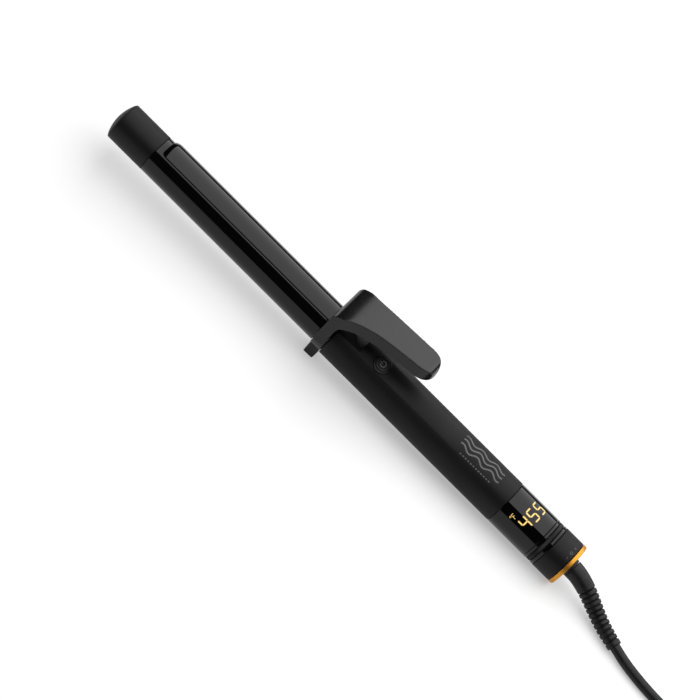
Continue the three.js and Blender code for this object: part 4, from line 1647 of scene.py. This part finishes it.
# ---------------------------------------------------------------- studio
@dataclass(frozen=True)
class Studio:
    """The camera, the soft light and the floor.

    Attributes:
        elevation: the camera's height over the iron, in degrees.
        roll: how far the iron is turned in the frame, in degrees.
        distance: from the camera to the iron, in metres.
        lens: the focal length in millimetres on a 36 mm sensor.
        aim: the point of the iron in the middle of the frame.
        softbox: the light's radiance.
        softbox_size: its width and depth in metres.
        softbox_place: its middle in metres, before it leans.
        softbox_lean: how far it leans over the iron, in degrees.
        room: the radiance of the dark room round it.
        table: the radiance of the table's own light.
    """

    elevation: float = 42.0
    roll: float = 44.9
    distance: float = 1.76
    lens: float = 154.0
    aim: Point3 = (17.0, -0.8, -0.9)
    softbox: float = 2.6
    softbox_size: Point2 = (2.0, 3.3)
    softbox_place: Point3 = (0.35, 0, 1.2)
    softbox_lean: float = -18
    room: float = 0.03
    table: float = 0.42

    def build(self) -> None:
        """Sets up the camera, the light, the floor and the room."""
        self.camera()
        self.light()
        self.floor()
        bpy.context.scene.view_settings.view_transform = "Standard"

    def camera(self) -> None:
        """Places the camera at the viewing angle."""
        lift, roll = math.radians(self.elevation), math.radians(self.roll)
        back = Vector((0, -math.cos(lift), math.sin(lift)))
        rise = Vector((0, math.sin(lift), math.cos(lift)))
        along = Vector((1, 0, 0))
        right = along * math.cos(roll) + rise * math.sin(roll)
        over = rise * math.cos(roll) - along * math.sin(roll)
        turn = IRON.matrix.to_3x3() @ Matrix((right, over, back)).transposed()
        data = bpy.data.cameras.new("camera")
        data.sensor_width, data.lens, data.clip_start = 36, self.lens, 0.05
        camera = bpy.data.objects.new("camera", data)
        bpy.context.scene.collection.objects.link(camera)
        place = IRON.point(*self.aim) + (IRON.matrix.to_3x3() @ back) * self.distance
        camera.matrix_world = Matrix.Translation(place) @ turn.to_4x4()
        bpy.context.scene.camera = camera

    def light(self) -> None:
        """Hangs one large softbox over and behind the iron."""
        width, depth = self.softbox_size
        data = bpy.data.lights.new("softbox", "AREA")
        data.shape, data.size, data.size_y = "RECTANGLE", width, depth
        data.energy = self.softbox * math.pi * width * depth
        softbox = bpy.data.objects.new("softbox", data)
        bpy.context.scene.collection.objects.link(softbox)
        lean = Matrix.Rotation(math.radians(self.softbox_lean), 4, "X")
        softbox.matrix_world = lean @ Matrix.Translation(self.softbox_place)
        world = bpy.data.worlds.new("room")
        world.use_nodes = True
        background = world.node_tree.nodes["Background"].inputs
        background["Color"].default_value = (1, 1, 1, 1)
        background["Strength"].default_value = self.room
        bpy.context.scene.world = world

    def floor(self) -> None:
        """Lays a pale matte floor on the plane that the iron rests on."""
        half = 4000
        sheet = Draft()
        sheet.cap(sheet.ring([(-half, -half, 0), (half, -half, 0), (half, half, 0), (-half, half, 0)]))
        floor = sheet.to_object("floor", STANDING)
        floor.data.materials.append(LightTable("light_table", (0.5, 0.5, 0.5), glow=self.table).material())


def main() -> None:
    """Builds the studio and then every sub-assembly of the iron."""
    logging.basicConfig(level=logging.INFO, format="%(message)s")
    Studio().build()
    for assembly in (MainsCord(), Barrel(), Clip(), Collar(), Handle(), PowerButton(), Display(), Rings(), Dial(),
                     Swivel()):
        assembly.build()
        assembly.report()


if __name__ == "__main__":
    main()
